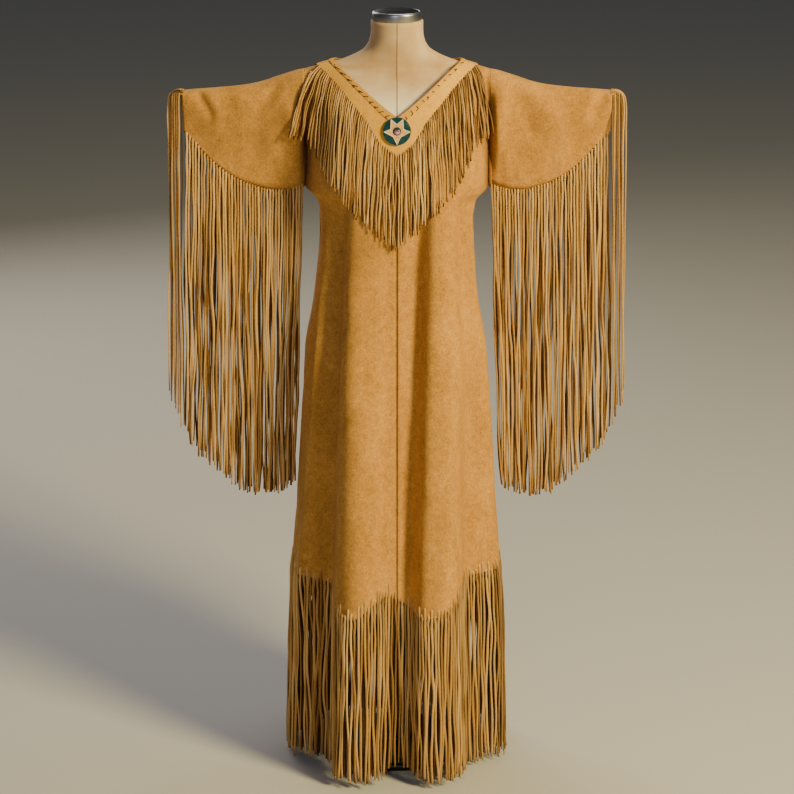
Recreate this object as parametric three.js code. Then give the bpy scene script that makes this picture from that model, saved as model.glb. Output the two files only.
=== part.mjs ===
// A fringed suede dress on a limbless dress form, in millimetres.
// +Z is up, the front faces -Y, and the origin is on the floor under the middle of the base.
// Left and right are the wearer's: left is +X.

import * as THREE from "three";

// Cloth and seams
const suede = 1.8;
const bindingThickness = 1.6;
const seamGap = 0.3;
const laidGap = 0.4;
const stripGap = 0.9;

// Body of the dress
const hemZ = 378.3;
const underarmZ = 1165;
const armholeX = 174;
const chestFront = 112;
const chestBack = 92;
const chestPower = 2.25;
const shoulderPower = 2.6;
const armholePower = 6;
const shoulder = { x: 129, z: 1402.7, fall: 0.293 };
const neckPointX = 121;
const yokePointX = 151;

// Sleeves
const sleeveStartX = armholeX + 1.5 * seamGap;
const cuffX = 405;

// Fringe
const stripHeight = 8;
const fringeThickness = 1.8;
const hemStrands = { front: 20, back: 36, halfTurn: 1.15, lowest: 9 };
const sleeveStrands = { count: 24, width: 6 };
const cuffStrands = { count: 5, width: 5.5, rootX: 411.5, flare: 12 };
const yokeStrands = { front: 40, back: 26, width: 4.6, clearance: 4.6 };

// Sections of the skirt and bodice, level by level.  Below the hem they guide the strands.
const bodySections = [
  { z: 0, halfWidth: 217, front: 202, back: 190, power: 2.1 },
  { z: 370, halfWidth: 206.5, front: 190, back: 178, power: 2.1 },
  { z: 441, halfWidth: 201.6, front: 183, back: 172, power: 2.1 },
  { z: 560, halfWidth: 191, front: 172, back: 160, power: 2.15 },
  { z: 664, halfWidth: 184, front: 163, back: 150, power: 2.2 },
  { z: 742, halfWidth: 179.7, front: 154, back: 141, power: 2.2 },
  { z: 830, halfWidth: 175.5, front: 141, back: 127, power: 2.25 },
  { z: 887, halfWidth: 169, front: 130, back: 116, power: 2.25 },
  { z: 940, halfWidth: 160, front: 120, back: 106, power: 2.25 },
  { z: 984, halfWidth: 154.5, front: 112, back: 97, power: 2.25 },
  { z: 1044, halfWidth: 150, front: 106, back: 89, power: 2.25 },
  { z: 1101, halfWidth: 147.6, front: 108, back: 88, power: 2.25 },
  { z: 1142, halfWidth: 152, front: 111, back: 91, power: 2.25 },
  { z: underarmZ, halfWidth: armholeX, front: chestFront, back: chestBack, power: chestPower },
];

// The standing folds of the skirt, by their angle from the front centre, plus towards +X.
// A fold drifts from its hem angle to its top angle, and its depth is that at the hem.
const folds = [
  { hemAngle: 3, topAngle: 10, depth: -34, spread: 10 },
  { hemAngle: 20, topAngle: 37, depth: 34, spread: 11 },
  { hemAngle: 50, topAngle: 56, depth: -28, spread: 10 },
  { hemAngle: 70, topAngle: 72, depth: 12, spread: 10 },
  { hemAngle: 105, topAngle: 103, depth: -18, spread: 10 },
  { hemAngle: 125, topAngle: 122, depth: 24, spread: 11 },
  { hemAngle: 148, topAngle: 146, depth: -22, spread: 10 },
  { hemAngle: 170, topAngle: 168, depth: 24, spread: 11 },
  { hemAngle: 192, topAngle: 190, depth: -24, spread: 10 },
  { hemAngle: 215, topAngle: 214, depth: 22, spread: 11 },
  { hemAngle: 238, topAngle: 238, depth: -18, spread: 10 },
  { hemAngle: 260, topAngle: 259, depth: 8, spread: 10 },
  { hemAngle: 288, topAngle: 286, depth: 8, spread: 10 },
  { hemAngle: 312, topAngle: 315, depth: -36, spread: 12 },
  { hemAngle: 340, topAngle: 336, depth: 34, spread: 11 },
];

const foldGrowth = [
  { z: 0, share: 1.04 },
  { z: 378, share: 1 },
  { z: 700, share: 0.7 },
  { z: 1000, share: 0.35 },
  { z: 1120, share: 0.14 },
  { z: underarmZ, share: 0 },
];

const skirtLevels = [hemZ, 460, 550, 640, 730, 815, 900, 980, 1055, 1110, 1144, underarmZ];
const risePoints = [0, 0.14, 0.31, 0.5, 0.69, 0.86, 1];

// Edges of the yoke band, from the centre to the shoulder seam
const frontNeckline = [
  { x: 0, z: 1312 },
  { x: 41, z: 1343.5 },
  { x: 74, z: 1371 },
  { x: 100, z: 1391.5 },
  { x: neckPointX, z: shoulderHeight(neckPointX) },
];
const frontYokeEdge = [
  { x: 0, z: 1241 },
  { x: 32, z: 1266 },
  { x: 57, z: 1305 },
  { x: 82, z: 1335 },
  { x: 107, z: 1364 },
  { x: 132, z: 1386 },
  { x: yokePointX, z: shoulderHeight(yokePointX) },
];
const backNeckline = [
  { x: 0, z: 1385 },
  { x: 40, z: 1386.5 },
  { x: 75, z: 1391 },
  { x: 100, z: 1398 },
  { x: neckPointX, z: shoulderHeight(neckPointX) },
];
const backYokeEdge = [
  { x: 0, z: 1338 },
  { x: 40, z: 1342 },
  { x: 80, z: 1356 },
  { x: 115, z: 1377 },
  { x: yokePointX, z: shoulderHeight(yokePointX) },
];
const bandRows = [0, 0.2, 0.79, 1];
const stripRow = bandRows[1];

const faces = {
  front: { sign: -1, depth: chestFront, neckline: frontNeckline, yokeEdge: frontYokeEdge,
    bandColumns: 14, sideColumns: 4 },
  back: { sign: 1, depth: chestBack, neckline: backNeckline, yokeEdge: backYokeEdge,
    bandColumns: 12, sideColumns: 4 },
};

// Bat-wing sleeve, station by station from the armhole to the cuff
const sleeveSections = [
  { x: armholeX, top: shoulderHeight(armholeX), bottom: underarmZ, halfDepth: 52 },
  { x: 190, top: 1386.5, bottom: 1158, halfDepth: 49 },
  { x: 208, top: 1381, bottom: 1153, halfDepth: 46 },
  { x: 228, top: 1374.5, bottom: 1150.5, halfDepth: 43 },
  { x: 250, top: 1367, bottom: 1152, halfDepth: 40 },
  { x: 275, top: 1361, bottom: 1159, halfDepth: 37 },
  { x: 300, top: 1357.5, bottom: 1169, halfDepth: 34 },
  { x: 325, top: 1355, bottom: 1184, halfDepth: 31.5 },
  { x: 350, top: 1353, bottom: 1205, halfDepth: 29 },
  { x: 378, top: 1351, bottom: 1236, halfDepth: 27 },
  { x: cuffX, top: 1348.5, bottom: 1268, halfDepth: 25 },
];

// Where strands end: by the place of their roots for the sleeve, by their own place for the yoke
const sleeveTips = [
  { rootX: 176, tipX: 203, tipZ: 575 },
  { rootX: 205, tipX: 222, tipZ: 558 },
  { rootX: 250, tipX: 260, tipZ: 546 },
  { rootX: 295, tipX: 304, tipZ: 553 },
  { rootX: 328, tipX: 340, tipZ: 583 },
  { rootX: 357, tipX: 371, tipZ: 615 },
  { rootX: 380, tipX: 396, tipZ: 638 },
  { rootX: 405, tipX: 421, tipZ: 688 },
];
const frontYokeTips = [
  { rootX: 0, tipX: 0, tipZ: 1076 },
  { rootX: 30, tipX: 30, tipZ: 1100 },
  { rootX: 52, tipX: 51, tipZ: 1127 },
  { rootX: 82, tipX: 81, tipZ: 1161 },
  { rootX: 107, tipX: 110, tipZ: 1197 },
  { rootX: 125, tipX: 132, tipZ: 1232 },
  { rootX: 137, tipX: 158, tipZ: 1262 },
  { rootX: 148, tipX: 198, tipZ: 1277 },
];
const backYokeTips = [
  { rootX: 0, tipX: 0, tipZ: 1168 },
  { rootX: 50, tipX: 50, tipZ: 1174 },
  { rootX: 90, tipX: 91, tipZ: 1192 },
  { rootX: 118, tipX: 124, tipZ: 1216 },
  { rootX: 137, tipX: 156, tipZ: 1250 },
  { rootX: 148, tipX: 194, tipZ: 1274 },
];

// The dress form.  Its shoulder ridge follows the shoulder seam just under the cloth.
const ridgeDrop = suede / Math.cos(Math.atan(shoulder.fall)) + 0.6;
const formSections = [
  { z: 780, halfWidth: 126, front: 80, back: 90, power: 2 },
  { z: 788, halfWidth: 138, front: 88, back: 100, power: 2 },
  { z: 880, halfWidth: 147, front: 92, back: 96, power: 2.1 },
  { z: 960, halfWidth: 132, front: 84, back: 78, power: 2.1 },
  { z: 1050, halfWidth: 116, front: 80, back: 72, power: 2.1 },
  { z: 1120, halfWidth: 124, front: 92, back: 76, power: 2.2 },
  { z: 1200, halfWidth: 138, front: 102, back: 80, power: 2.3 },
  { z: 1270, halfWidth: 148, front: 100, back: 82, power: 2.3 },
  { z: 1320, halfWidth: 155, front: 91, back: 73, power: 2.3 },
  { z: 1355, halfWidth: 161, front: 74, back: 58, power: 2.2 },
  { z: 1378, halfWidth: 163, front: 56, back: 46, power: 2 },
  { z: 1387, halfWidth: 161, front: 43, back: 38, power: 1.6 },
  { z: 1391, halfWidth: ridgeX(1391), front: 40, back: 37, power: 1.3 },
  { z: 1395.5, halfWidth: ridgeX(1395.5), front: 41, back: 38, power: 1.35 },
  { z: 1400, halfWidth: ridgeX(1400), front: 42, back: 41, power: 1.5 },
  { z: 1404.5, halfWidth: ridgeX(1404.5), front: 42, back: 42, power: 1.55 },
  { z: 1410, halfWidth: 98, front: 43, back: 42, power: 1.65 },
  { z: 1418, halfWidth: 79, front: 44, back: 44, power: 1.8 },
  { z: 1430, halfWidth: 60, front: 46, back: 46, power: 2 },
  { z: 1450, halfWidth: 50.5, front: 48.5, back: 48, power: 2 },
  { z: 1480.6, halfWidth: 49, front: 49, back: 49, power: 2 },
];
const formSides = 28;
const roundSides = 28;
const base = { radius: 130, thickness: 14, edge: 4 };
const poleRadius = 14;
const cap = { bottom: 1480.9, ringTop: 1497.6, top: 1500.8, radius: 46.5, domeRadius: 41 };

// Rosette at the front of the yoke
const rosette = { z: 1290, radius: 26, thickness: 2.4, starRadius: 24, starWaist: 12.6,
  starThickness: 0.9, stoneRadius: 7.6, stoneHeight: 4.2 };
// The star is beaded by eye: where its tips and the notches after them point, in degrees
const starTurns = [
  { tip: 270, notch: 304 },
  { tip: 357, notch: 377 },
  { tip: 423, notch: 450 },
  { tip: 477, notch: 523 },
  { tip: 543, notch: 596 },
];

function material(color, roughness, metalness = 0) {
  return () => new THREE.MeshStandardMaterial({ color, roughness, metalness });
}

const finishes = {
  suede: material(0xc58f48, 0.95),
  yoke: material(0xd39c4e, 0.95),
  fringe: material(0xb9803c, 0.95),
  teal: material(0x0e5a5e, 0.4),
  cream: material(0xf2e3b8, 0.45),
  stone: material(0x8d7f86, 0.15),
  form: material(0xdcc7a2, 0.85),
  chrome: material(0xd8d8d8, 0.12, 1),
  black: material(0x16120f, 0.45),
};

// ---- Small helpers ----

function shoulderHeight(x) {
  return shoulder.z - shoulder.fall * (Math.abs(x) - shoulder.x);
}

function ridgeX(z) {
  return shoulder.x + (shoulder.z - ridgeDrop - z) / shoulder.fall;
}

const radians = THREE.MathUtils.degToRad;
const mix = THREE.MathUtils.lerp;
const clamp = THREE.MathUtils.clamp;

function signedPower(value, power) {
  return Math.sign(value) * Math.abs(value) ** power;
}

function stretchAt(table, key, at) {
  let row = 0;
  while (row < table.length - 2 && at > table[row + 1][key]) row += 1;
  return row;
}

// A smooth value of one column, at a value of the sorted key column
function smoothAt(table, key, name, at) {
  const row = stretchAt(table, key, at);
  const last = table.length - 1;
  const slopeAt = (index) => {
    const low = table[Math.max(index - 1, 0)];
    const high = table[Math.min(index + 1, last)];
    return (high[name] - low[name]) / (high[key] - low[key]);
  };
  const span = table[row + 1][key] - table[row][key];
  const t = clamp((at - table[row][key]) / span, 0, 1);
  const step = table[row + 1][name] - table[row][name];
  const startBend = slopeAt(row) * span - step;
  const endBend = step - slopeAt(row + 1) * span;
  return mix(table[row][name], table[row + 1][name], t)
    + t * (1 - t) * (startBend * (1 - t) + endBend * t);
}

function straightAt(table, key, name, at) {
  const row = stretchAt(table, key, at);
  const t = (at - table[row][key]) / (table[row + 1][key] - table[row][key]);
  return mix(table[row][name], table[row + 1][name], clamp(t, 0, 1));
}

// The point a share of the way along an edge that is drawn by its x and z
function alongEdge(edge, share) {
  const lengths = [0];
  for (let i = 1; i < edge.length; i += 1) {
    const step = Math.hypot(edge[i].x - edge[i - 1].x, edge[i].z - edge[i - 1].z);
    lengths.push(lengths[i - 1] + step);
  }
  const rows = edge.map((point, i) => ({ ...point, share: lengths[i] / lengths.at(-1) }));
  return { x: smoothAt(rows, "share", "x", share), z: smoothAt(rows, "share", "z", share) };
}

// ---- The surface of the dress ----

function foldPush(degrees, z) {
  const rise = clamp((z - hemZ) / (underarmZ - hemZ), 0, 1);
  let push = 0;
  for (const fold of folds) {
    const away = THREE.MathUtils.euclideanModulo(
      degrees - mix(fold.hemAngle, fold.topAngle, rise) + 180, 360) - 180;
    push += fold.depth * Math.exp(-0.5 * (away / fold.spread) ** 2);
  }
  return push * straightAt(foldGrowth, "z", "share", z);
}

function skirtPoint(degrees, z) {
  const section = (name) => smoothAt(bodySections, "z", name, z);
  const power = 2 / section("power");
  const sine = Math.sin(radians(degrees));
  const cosine = Math.cos(radians(degrees));
  const depth = cosine > 0 ? section("front") : section("back");
  const push = foldPush(degrees, z);
  return new THREE.Vector3(
    section("halfWidth") * signedPower(sine, power) + push * sine,
    -depth * signedPower(cosine, power) - push * cosine,
    z,
  );
}

function riseShare(h) {
  return Math.sin(h * Math.PI / 2) ** (2 / shoulderPower);
}

function depthShare(h) {
  return Math.max(Math.cos(h * Math.PI / 2), 0) ** (2 / shoulderPower);
}

function riseOf(share) {
  return Math.asin(clamp(share, 0, 1) ** (shoulderPower / 2)) / (Math.PI / 2);
}

// Depth of a sleeve's section at the rise h, as a share of its half depth
function sleeveBulge(h) {
  return Math.sin(Math.PI * h) * (0.45 + 0.55 * h);
}

// The bodice above the underarm: x runs across it, and h from the underarm to the shoulder
function chestPoint(face, x, h) {
  const outward = Math.min(Math.abs(x) / armholeX, 1);
  const armShare = outward ** armholePower;
  const settle = THREE.MathUtils.smoothstep(h, 0, 0.25);
  const across = (1 - outward ** chestPower) ** (1 / chestPower);
  const chest = face.depth * across * depthShare(h) * (1 - armShare * settle);
  const arm = armShare * sleeveSections[0].halfDepth * sleeveBulge(h);
  const z = mix(underarmZ, shoulderHeight(x), riseShare(h));
  return new THREE.Vector3(x, face.sign * (chest + arm), z);
}

function chestRise(x, z) {
  return riseOf((z - underarmZ) / (shoulderHeight(x) - underarmZ));
}

function bandPoint(face, side, u, v) {
  const low = alongEdge(face.yokeEdge, u);
  const high = alongEdge(face.neckline, u);
  const x = mix(low.x, high.x, v);
  const rise = u === 1 ? 1 : chestRise(x, mix(low.z, high.z, v));
  return chestPoint(face, side * x, rise);
}

function bandNormal(face, side, u, v) {
  const reach = 0.01;
  const at = (du, dv) => bandPoint(face, side, clamp(u + du, 0, 0.999), clamp(v + dv, 0, 1));
  const along = at(reach, 0).sub(at(-reach, 0));
  const up = at(0, reach).sub(at(0, -reach));
  return along.cross(up).multiplyScalar(-side * face.sign).normalize();
}

function sleevePoint(x, h, side, sign) {
  const section = (name) => straightAt(sleeveSections, "x", name, x);
  const z = mix(section("bottom"), section("top"), riseShare(h));
  return new THREE.Vector3(side * x, sign * section("halfDepth") * sleeveBulge(h), z);
}

// How far the dress stands out from the seam plane y = 0, on one face at the place x, z
function surfaceDepth(face, x, z) {
  const reach = Math.abs(x);
  if (reach >= armholeX) {
    const bottom = straightAt(sleeveSections, "x", "bottom", reach);
    const top = straightAt(sleeveSections, "x", "top", reach);
    const h = riseOf((z - bottom) / (top - bottom));
    return straightAt(sleeveSections, "x", "halfDepth", reach) * sleeveBulge(h);
  }
  if (z >= underarmZ) return Math.abs(chestPoint(face, x, chestRise(x, z)).y);
  const centre = face.sign < 0 ? 0 : 180;
  const turn = -face.sign * Math.sign(x || 1);
  let inner = 0;
  let outer = 90;
  for (let i = 0; i < 20; i += 1) {
    const middle = (inner + outer) / 2;
    if (Math.abs(skirtPoint(centre + turn * middle, z).x) < reach) inner = middle;
    else outer = middle;
  }
  return Math.abs(skirtPoint(centre + turn * inner, z).y);
}

// ---- Sheets of cloth and their walls ----

class Sheet {
  constructor() {
    this.points = [];
    this.triangles = [];
    this.known = new Map();
  }

  add(point) {
    const key = [point.x, point.y, point.z].map((value) => Math.round(value * 1000)).join();
    if (!this.known.has(key)) {
      this.known.set(key, this.points.length);
      this.points.push(point);
    }
    return this.known.get(key);
  }

  triangle(a, b, c) {
    if (a !== b && b !== c && a !== c) this.triangles.push([a, b, c]);
  }

  grid(rows, flip) {
    const ids = rows.map((row) => row.map((point) => this.add(point)));
    for (let i = 1; i < ids.length; i += 1) {
      for (let j = 1; j < ids[i].length; j += 1) {
        const corners = [ids[i - 1][j - 1], ids[i - 1][j], ids[i][j], ids[i][j - 1]];
        if (flip) corners.reverse();
        this.triangle(corners[0], corners[1], corners[2]);
        this.triangle(corners[0], corners[2], corners[3]);
      }
    }
  }

  // Outward directions, kept in the plane of the seam where a point lies on one
  normals(seams) {
    const result = this.points.map(() => new THREE.Vector3());
    for (const [a, b, c] of this.triangles) {
      const start = this.points[a];
      const side = this.points[b].clone().sub(start);
      const slope = this.points[c].clone().sub(start);
      const across = side.cross(slope);
      for (const id of [a, b, c]) result[id].add(across);
    }
    result.forEach((normal, id) => {
      for (const [axis, place] of seams) {
        if (Math.abs(Math.abs(this.points[id][axis]) - place) < 0.001) normal[axis] = 0;
      }
      normal.normalize();
    });
    return result;
  }
}

function geometryOf(points, triangles) {
  const geometry = new THREE.BufferGeometry();
  const values = points.flatMap((point) => [point.x, point.y, point.z]);
  geometry.setAttribute("position", new THREE.Float32BufferAttribute(values, 3));
  geometry.setIndex(triangles.flat());
  geometry.computeVertexNormals();
  return geometry;
}

// A closed wall between two offsets from a sheet, moved as a whole by shift
function wallOf(sheet, inner, outer, seams = [], shift = new THREE.Vector3()) {
  const normals = sheet.normals([["x", 0], ["y", 0], ...seams]);
  const layer = (offset) => sheet.points.map(
    (point, id) => point.clone().addScaledVector(normals[id], offset).add(shift));
  const count = sheet.points.length;
  const triangles = [];
  const open = new Map();
  for (const [a, b, c] of sheet.triangles) {
    triangles.push([a, b, c], [c + count, b + count, a + count]);
    for (const [from, to] of [[a, b], [b, c], [c, a]]) {
      if (!open.delete(`${to},${from}`)) open.set(`${from},${to}`, [from, to]);
    }
  }
  for (const [from, to] of open.values()) {
    triangles.push([to, from, from + count], [to, from + count, to + count]);
  }
  return geometryOf([...layer(outer), ...layer(inner)], triangles);
}

// ---- Bodice, skirt, yoke and neck binding ----

function sideTurn(face, side, share) {
  return face.sign < 0 ? side * 90 * share : 180 - side * 90 * share;
}

function panelColumns(face, side) {
  const columns = [];
  const total = face.bandColumns + face.sideColumns;
  for (let j = 0; j <= total; j += 1) {
    const share = j / total;
    const turn = sideTurn(face, side, share);
    const foot = j === total ? armholeX : Math.abs(skirtPoint(turn, underarmZ).x);
    const past = (j - face.bandColumns) / face.sideColumns;
    const onBand = past <= 0;
    const top = onBand ? alongEdge(face.yokeEdge, bandShare(face, j))
      : { x: mix(yokePointX, armholeX, past) };
    const topRise = onBand && past < 0 ? chestRise(top.x, top.z) : 1;
    columns.push({ turn, foot, topX: top.x, topRise });
  }
  return columns;
}

// Places along the band, closer together towards the shoulder, where it turns over
function bandShare(face, column) {
  return 1 - (1 - column / face.bandColumns) ** 1.35;
}

function addPanel(sheet, face, side) {
  const columns = panelColumns(face, side);
  const flip = side * face.sign > 0;
  const rows = skirtLevels.slice(0, -1).map(
    (z) => columns.map((column) => seamed(skirtPoint(column.turn, z))));
  for (const rise of risePoints) {
    rows.push(columns.map((column) => seamed(
      chestPoint(face, side * mix(column.foot, column.topX, rise), rise * column.topRise))));
  }
  sheet.grid(rows, flip);
  addBand(sheet, face, side, 0);
}

// The yoke's part of a panel, from one of its rows to the neck
function addBand(sheet, face, side, firstRow) {
  const rows = bandRows.slice(firstRow).map((v) => {
    const row = [];
    for (let j = 0; j <= face.bandColumns; j += 1) {
      row.push(seamed(bandPoint(face, side, bandShare(face, j), v)));
    }
    return row;
  });
  sheet.grid(rows, side * face.sign > 0);
}

// A point close to a seam plane is put on it, so that mirrored halves share it
function seamed(point) {
  if (Math.abs(point.x) < 0.01) point.x = 0;
  if (Math.abs(point.y) < 0.01) point.y = 0;
  return point;
}

function panel(face, sides) {
  const sheet = new Sheet();
  for (const side of sides) addPanel(sheet, face, side);
  const half = seamGap / 2;
  const apart = sides.length === 1 ? sides[0] * half : 0;
  const shift = new THREE.Vector3(apart, face.sign * half, 0);
  return wallOf(sheet, -suede, 0, [["x", armholeX], ["z", hemZ]], shift);
}

function yoke(face) {
  const sheet = new Sheet();
  for (const side of [1, -1]) addBand(sheet, face, side, 0);
  const shift = new THREE.Vector3(0, face.sign * seamGap / 2, 0);
  return wallOf(sheet, laidGap, laidGap + suede, [], shift);
}

function neckBinding() {
  const sheet = new Sheet();
  for (const face of [faces.front, faces.back]) {
    for (const side of [1, -1]) addBand(sheet, face, side, 2);
  }
  const lift = 2 * laidGap + suede;
  return wallOf(sheet, lift, lift + bindingThickness);
}

function sleeve(side) {
  const sheet = new Sheet();
  const rows = sleeveSections.map((section) => {
    const x = Math.max(section.x, sleeveStartX);
    const front = risePoints.map((h) => seamed(sleevePoint(x, h, side, -1)));
    const back = risePoints.map((h) => seamed(sleevePoint(x, h, side, 1)));
    return [...front, ...back.reverse()];
  });
  sheet.grid(rows, side > 0);
  return wallOf(sheet, -suede, 0, [["x", sleeveStartX], ["x", cuffX]]);
}

// ---- Fringe: strands fused to the lower edge of a narrow strip ----

// Each strand has two top points on the strip and rings of four corners down its length.
// A ring goes: outer start, outer end, inner end, inner start.
function comb(strands) {
  const points = [];
  const triangles = [];
  const add = (point) => points.push(point) - 1;
  const quad = (a, b, c, d) => triangles.push([a, b, c], [a, c, d]);
  const parts = strands.map((strand) => ({
    top: strand.top.map(add),
    rings: strand.rings.map((ring) => ring.map(add)),
  }));
  parts.forEach(({ top, rings }, index) => {
    const [outerStart, outerEnd, innerEnd, innerStart] = rings[0];
    triangles.push([outerStart, outerEnd, top[0]], [innerEnd, innerStart, top[1]]);
    for (let k = 1; k < rings.length; k += 1) {
      const [above, below] = [rings[k - 1], rings[k]];
      for (let n = 0; n < 4; n += 1) {
        const next = (n + 1) % 4;
        quad(above[n], below[n], below[next], above[next]);
      }
    }
    const tip = rings.at(-1);
    quad(tip[0], tip[3], tip[2], tip[1]);
    const following = parts[index + 1];
    if (!following) {
      quad(outerEnd, innerEnd, top[1], top[0]);
      return;
    }
    const start = following.rings[0];
    quad(outerEnd, start[0], following.top[0], top[0]);
    quad(start[3], innerEnd, top[1], following.top[1]);
    quad(top[0], following.top[0], following.top[1], top[1]);
    quad(outerEnd, innerEnd, start[3], start[0]);
  });
  const first = parts[0];
  quad(first.top[0], first.top[1], first.rings[0][3], first.rings[0][0]);
  if (volumeOf(points, triangles) < 0) triangles.forEach((triangle) => triangle.reverse());
  return geometryOf(points, triangles);
}

function volumeOf(points, triangles) {
  return triangles.reduce((sum, [a, b, c]) => (
    sum + points[a].dot(points[b].clone().cross(points[c]))), 0) / 6;
}

// Four corners from the start and end points of a strand's outer side
function ringOf(start, end, out, thickness = fringeThickness) {
  const inward = out.clone().multiplyScalar(-thickness);
  return [start, end, end.clone().add(inward), start.clone().add(inward)];
}

function hemFringe(firstAngle, lastAngle, count) {
  const pitch = (lastAngle - firstAngle) / count;
  const strands = [];
  for (let i = 0; i < count; i += 1) {
    const angle = firstAngle + (i + 0.5) * pitch;
    const out = new THREE.Vector3(Math.sin(radians(angle)), -Math.cos(radians(angle)), 0);
    const rise = 20 * Math.exp(-((angle / 6) ** 2));
    const end = hemStrands.lowest + rise + 2.5 * (1 + Math.sin(2.4 * i));
    const sway = 0.5 * Math.sin(1.7 * i + firstAngle);
    const levels = [
      { z: hemZ - seamGap - stripHeight, turn: 0, half: hemStrands.halfTurn },
      { z: 190, turn: sway, half: 0.95 * hemStrands.halfTurn },
      { z: end, turn: -0.4 * sway, half: 0.8 * hemStrands.halfTurn },
    ];
    const topPoint = skirtPoint(angle, hemZ - seamGap);
    strands.push({
      top: [topPoint, topPoint.clone().addScaledVector(out, -fringeThickness)],
      rings: levels.map(({ z, turn, half }) => ringOf(
        skirtPoint(angle + turn - half, z), skirtPoint(angle + turn + half, z), out)),
    });
  }
  return comb(strands);
}

function sleeveFringe(side) {
  const out = new THREE.Vector3(0, -1, 0);
  const front = -fringeThickness / 2;
  const first = sleeveTips[0].rootX + 3;
  const pitch = (cuffX - 4 - first) / (sleeveStrands.count - 1);
  const strands = [];
  for (let i = 0; i < sleeveStrands.count; i += 1) {
    const x = first + i * pitch;
    const seam = (place) => straightAt(sleeveSections, "x", "bottom", place) - stripGap;
    const tipX = smoothAt(sleeveTips, "rootX", "tipX", x);
    const tipZ = smoothAt(sleeveTips, "rootX", "tipZ", x) + 4 * Math.sin(2.1 * i);
    const half = sleeveStrands.width / 2;
    const ringAt = (place, zStart, zEnd, y, width) => ringOf(
      new THREE.Vector3(side * (place - width), y, zStart),
      new THREE.Vector3(side * (place + width), y, zEnd), out);
    const middle = mix(seam(x), tipZ, 0.5);
    const topPoint = new THREE.Vector3(side * x, front, seam(x));
    const sway = 2.5 * Math.sin(1.3 * i + side);
    strands.push({
      top: [topPoint, topPoint.clone().addScaledVector(out, -fringeThickness)],
      rings: [
        ringAt(x, seam(x - half) - stripHeight, seam(x + half) - stripHeight, front, half),
        ringAt(mix(x, tipX, 0.55), middle, middle, front - sway, 0.95 * half),
        ringAt(tipX, tipZ, tipZ, front - sway, 0.8 * half),
      ],
    });
  }
  return comb(strands);
}

// Strands sewn along the cuff's front edge arch out over one another and fall
function cuffFringe(side) {
  const strands = [];
  for (let i = 0; i < cuffStrands.count; i += 1) {
    const h = 0.2 + 0.15 * i;
    const root = sleevePoint(cuffX, h, side, -1);
    const next = sleevePoint(cuffX, h + 0.02, side, -1).sub(root);
    const out = new THREE.Vector3(0, -next.z, next.y).normalize();
    const up = next.normalize();
    const radius = 5 + 4.3 * i;
    const tipZ = 700 + 15 * i;
    const width = cuffStrands.width;
    const topPoint = root.clone().setX(side * (cuffX + seamGap));
    const ringAt = (x, y, z, turn, wide) => {
      const along = up.clone().multiplyScalar(Math.cos(turn));
      along.x = side * Math.sin(turn);
      const centre = new THREE.Vector3(side * x, y, z);
      const half = along.normalize().multiplyScalar(wide / 2);
      const ringOut = out.clone().lerp(new THREE.Vector3(0, -1, 0), turn / (Math.PI / 2));
      return ringOf(centre.clone().sub(half), centre.clone().add(half), ringOut.normalize());
    };
    const rings = [ringAt(cuffStrands.rootX, root.y, root.z, 0, width)];
    for (const degrees of [45, 90]) {
      const turn = radians(degrees);
      rings.push(ringAt(cuffStrands.rootX + radius * Math.sin(turn), root.y,
        root.z - radius * (1 - Math.cos(turn)), turn, 0.65 * width));
    }
    rings.push(ringAt(cuffStrands.rootX + radius + cuffStrands.flare, root.y, tipZ,
      Math.PI / 2, 0.6 * width));
    strands.push({
      top: [topPoint, topPoint.clone().addScaledVector(out, -fringeThickness)],
      rings,
    });
  }
  return comb(strands);
}

// The cut lower edge of the yoke: its strands lie over the shoulder or hang down the chest
function yokeFringe(face, count, tips) {
  const strands = [];
  const lift = 3 * laidGap + suede;
  const halfStep = 0.3 / count;
  for (let i = 0; i < count; i += 1) {
    const place = (2 * i + 1) / count - 1;
    const side = Math.sign(place);
    const u = Math.min(Math.abs(place), 0.985);
    const raised = (share, v) => {
      const at = clamp(Math.abs(share), 0, 0.995);
      const half = Math.sign(share) || side;
      return bandPoint(face, half, at, v)
        .addScaledVector(bandNormal(face, half, at, v), lift + fringeThickness);
    };
    const out = bandNormal(face, side, u, 0);
    const outer = raised(side * u, stripRow);
    const start = raised(side * u - halfStep, 0);
    const end = raised(side * u + halfStep, 0);
    const root = start.clone().lerp(end, 0.5);
    const tipX = side * smoothAt(tips, "rootX", "tipX", Math.abs(root.x));
    const tipZ = smoothAt(tips, "rootX", "tipZ", Math.abs(root.x)) + 3 * Math.sin(2.3 * i);
    const rings = [ringOf(start, end, out)];
    const steps = Math.abs(root.x) > 95 ? [0.07, 0.18, 0.36, 0.62, 1] : [0.15, 0.5, 1];
    const deepest = [Math.abs(start.y), Math.abs(end.y)];
    for (const step of steps) {
      const z = mix(root.z, tipZ, step);
      const x = mix(root.x, tipX, step ** 0.8);
      const half = yokeStrands.width / 2 * (1 - 0.2 * step);
      const flat = new THREE.Vector3(0, face.sign, 0);
      const corners = [x - half, x + half].map((edgeX, which) => {
        const depth = surfaceDepth(face, edgeX, z) + yokeStrands.clearance + fringeThickness;
        deepest[which] = Math.max(deepest[which], depth);
        return new THREE.Vector3(edgeX, face.sign * deepest[which], z);
      });
      const blend = out.clone().lerp(flat, Math.min(1, 2.5 * step)).normalize();
      rings.push(ringOf(corners[0], corners[1], blend));
    }
    strands.push({ top: [outer, outer.clone().addScaledVector(out, -fringeThickness)], rings });
  }
  return comb(strands);
}

// ---- Rosette, form and stand ----

function turned(profile, sides = roundSides) {
  const points = profile.map(([radius, z]) => new THREE.Vector2(radius, z));
  return new THREE.LatheGeometry(points, sides).rotateX(Math.PI / 2);
}

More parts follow.
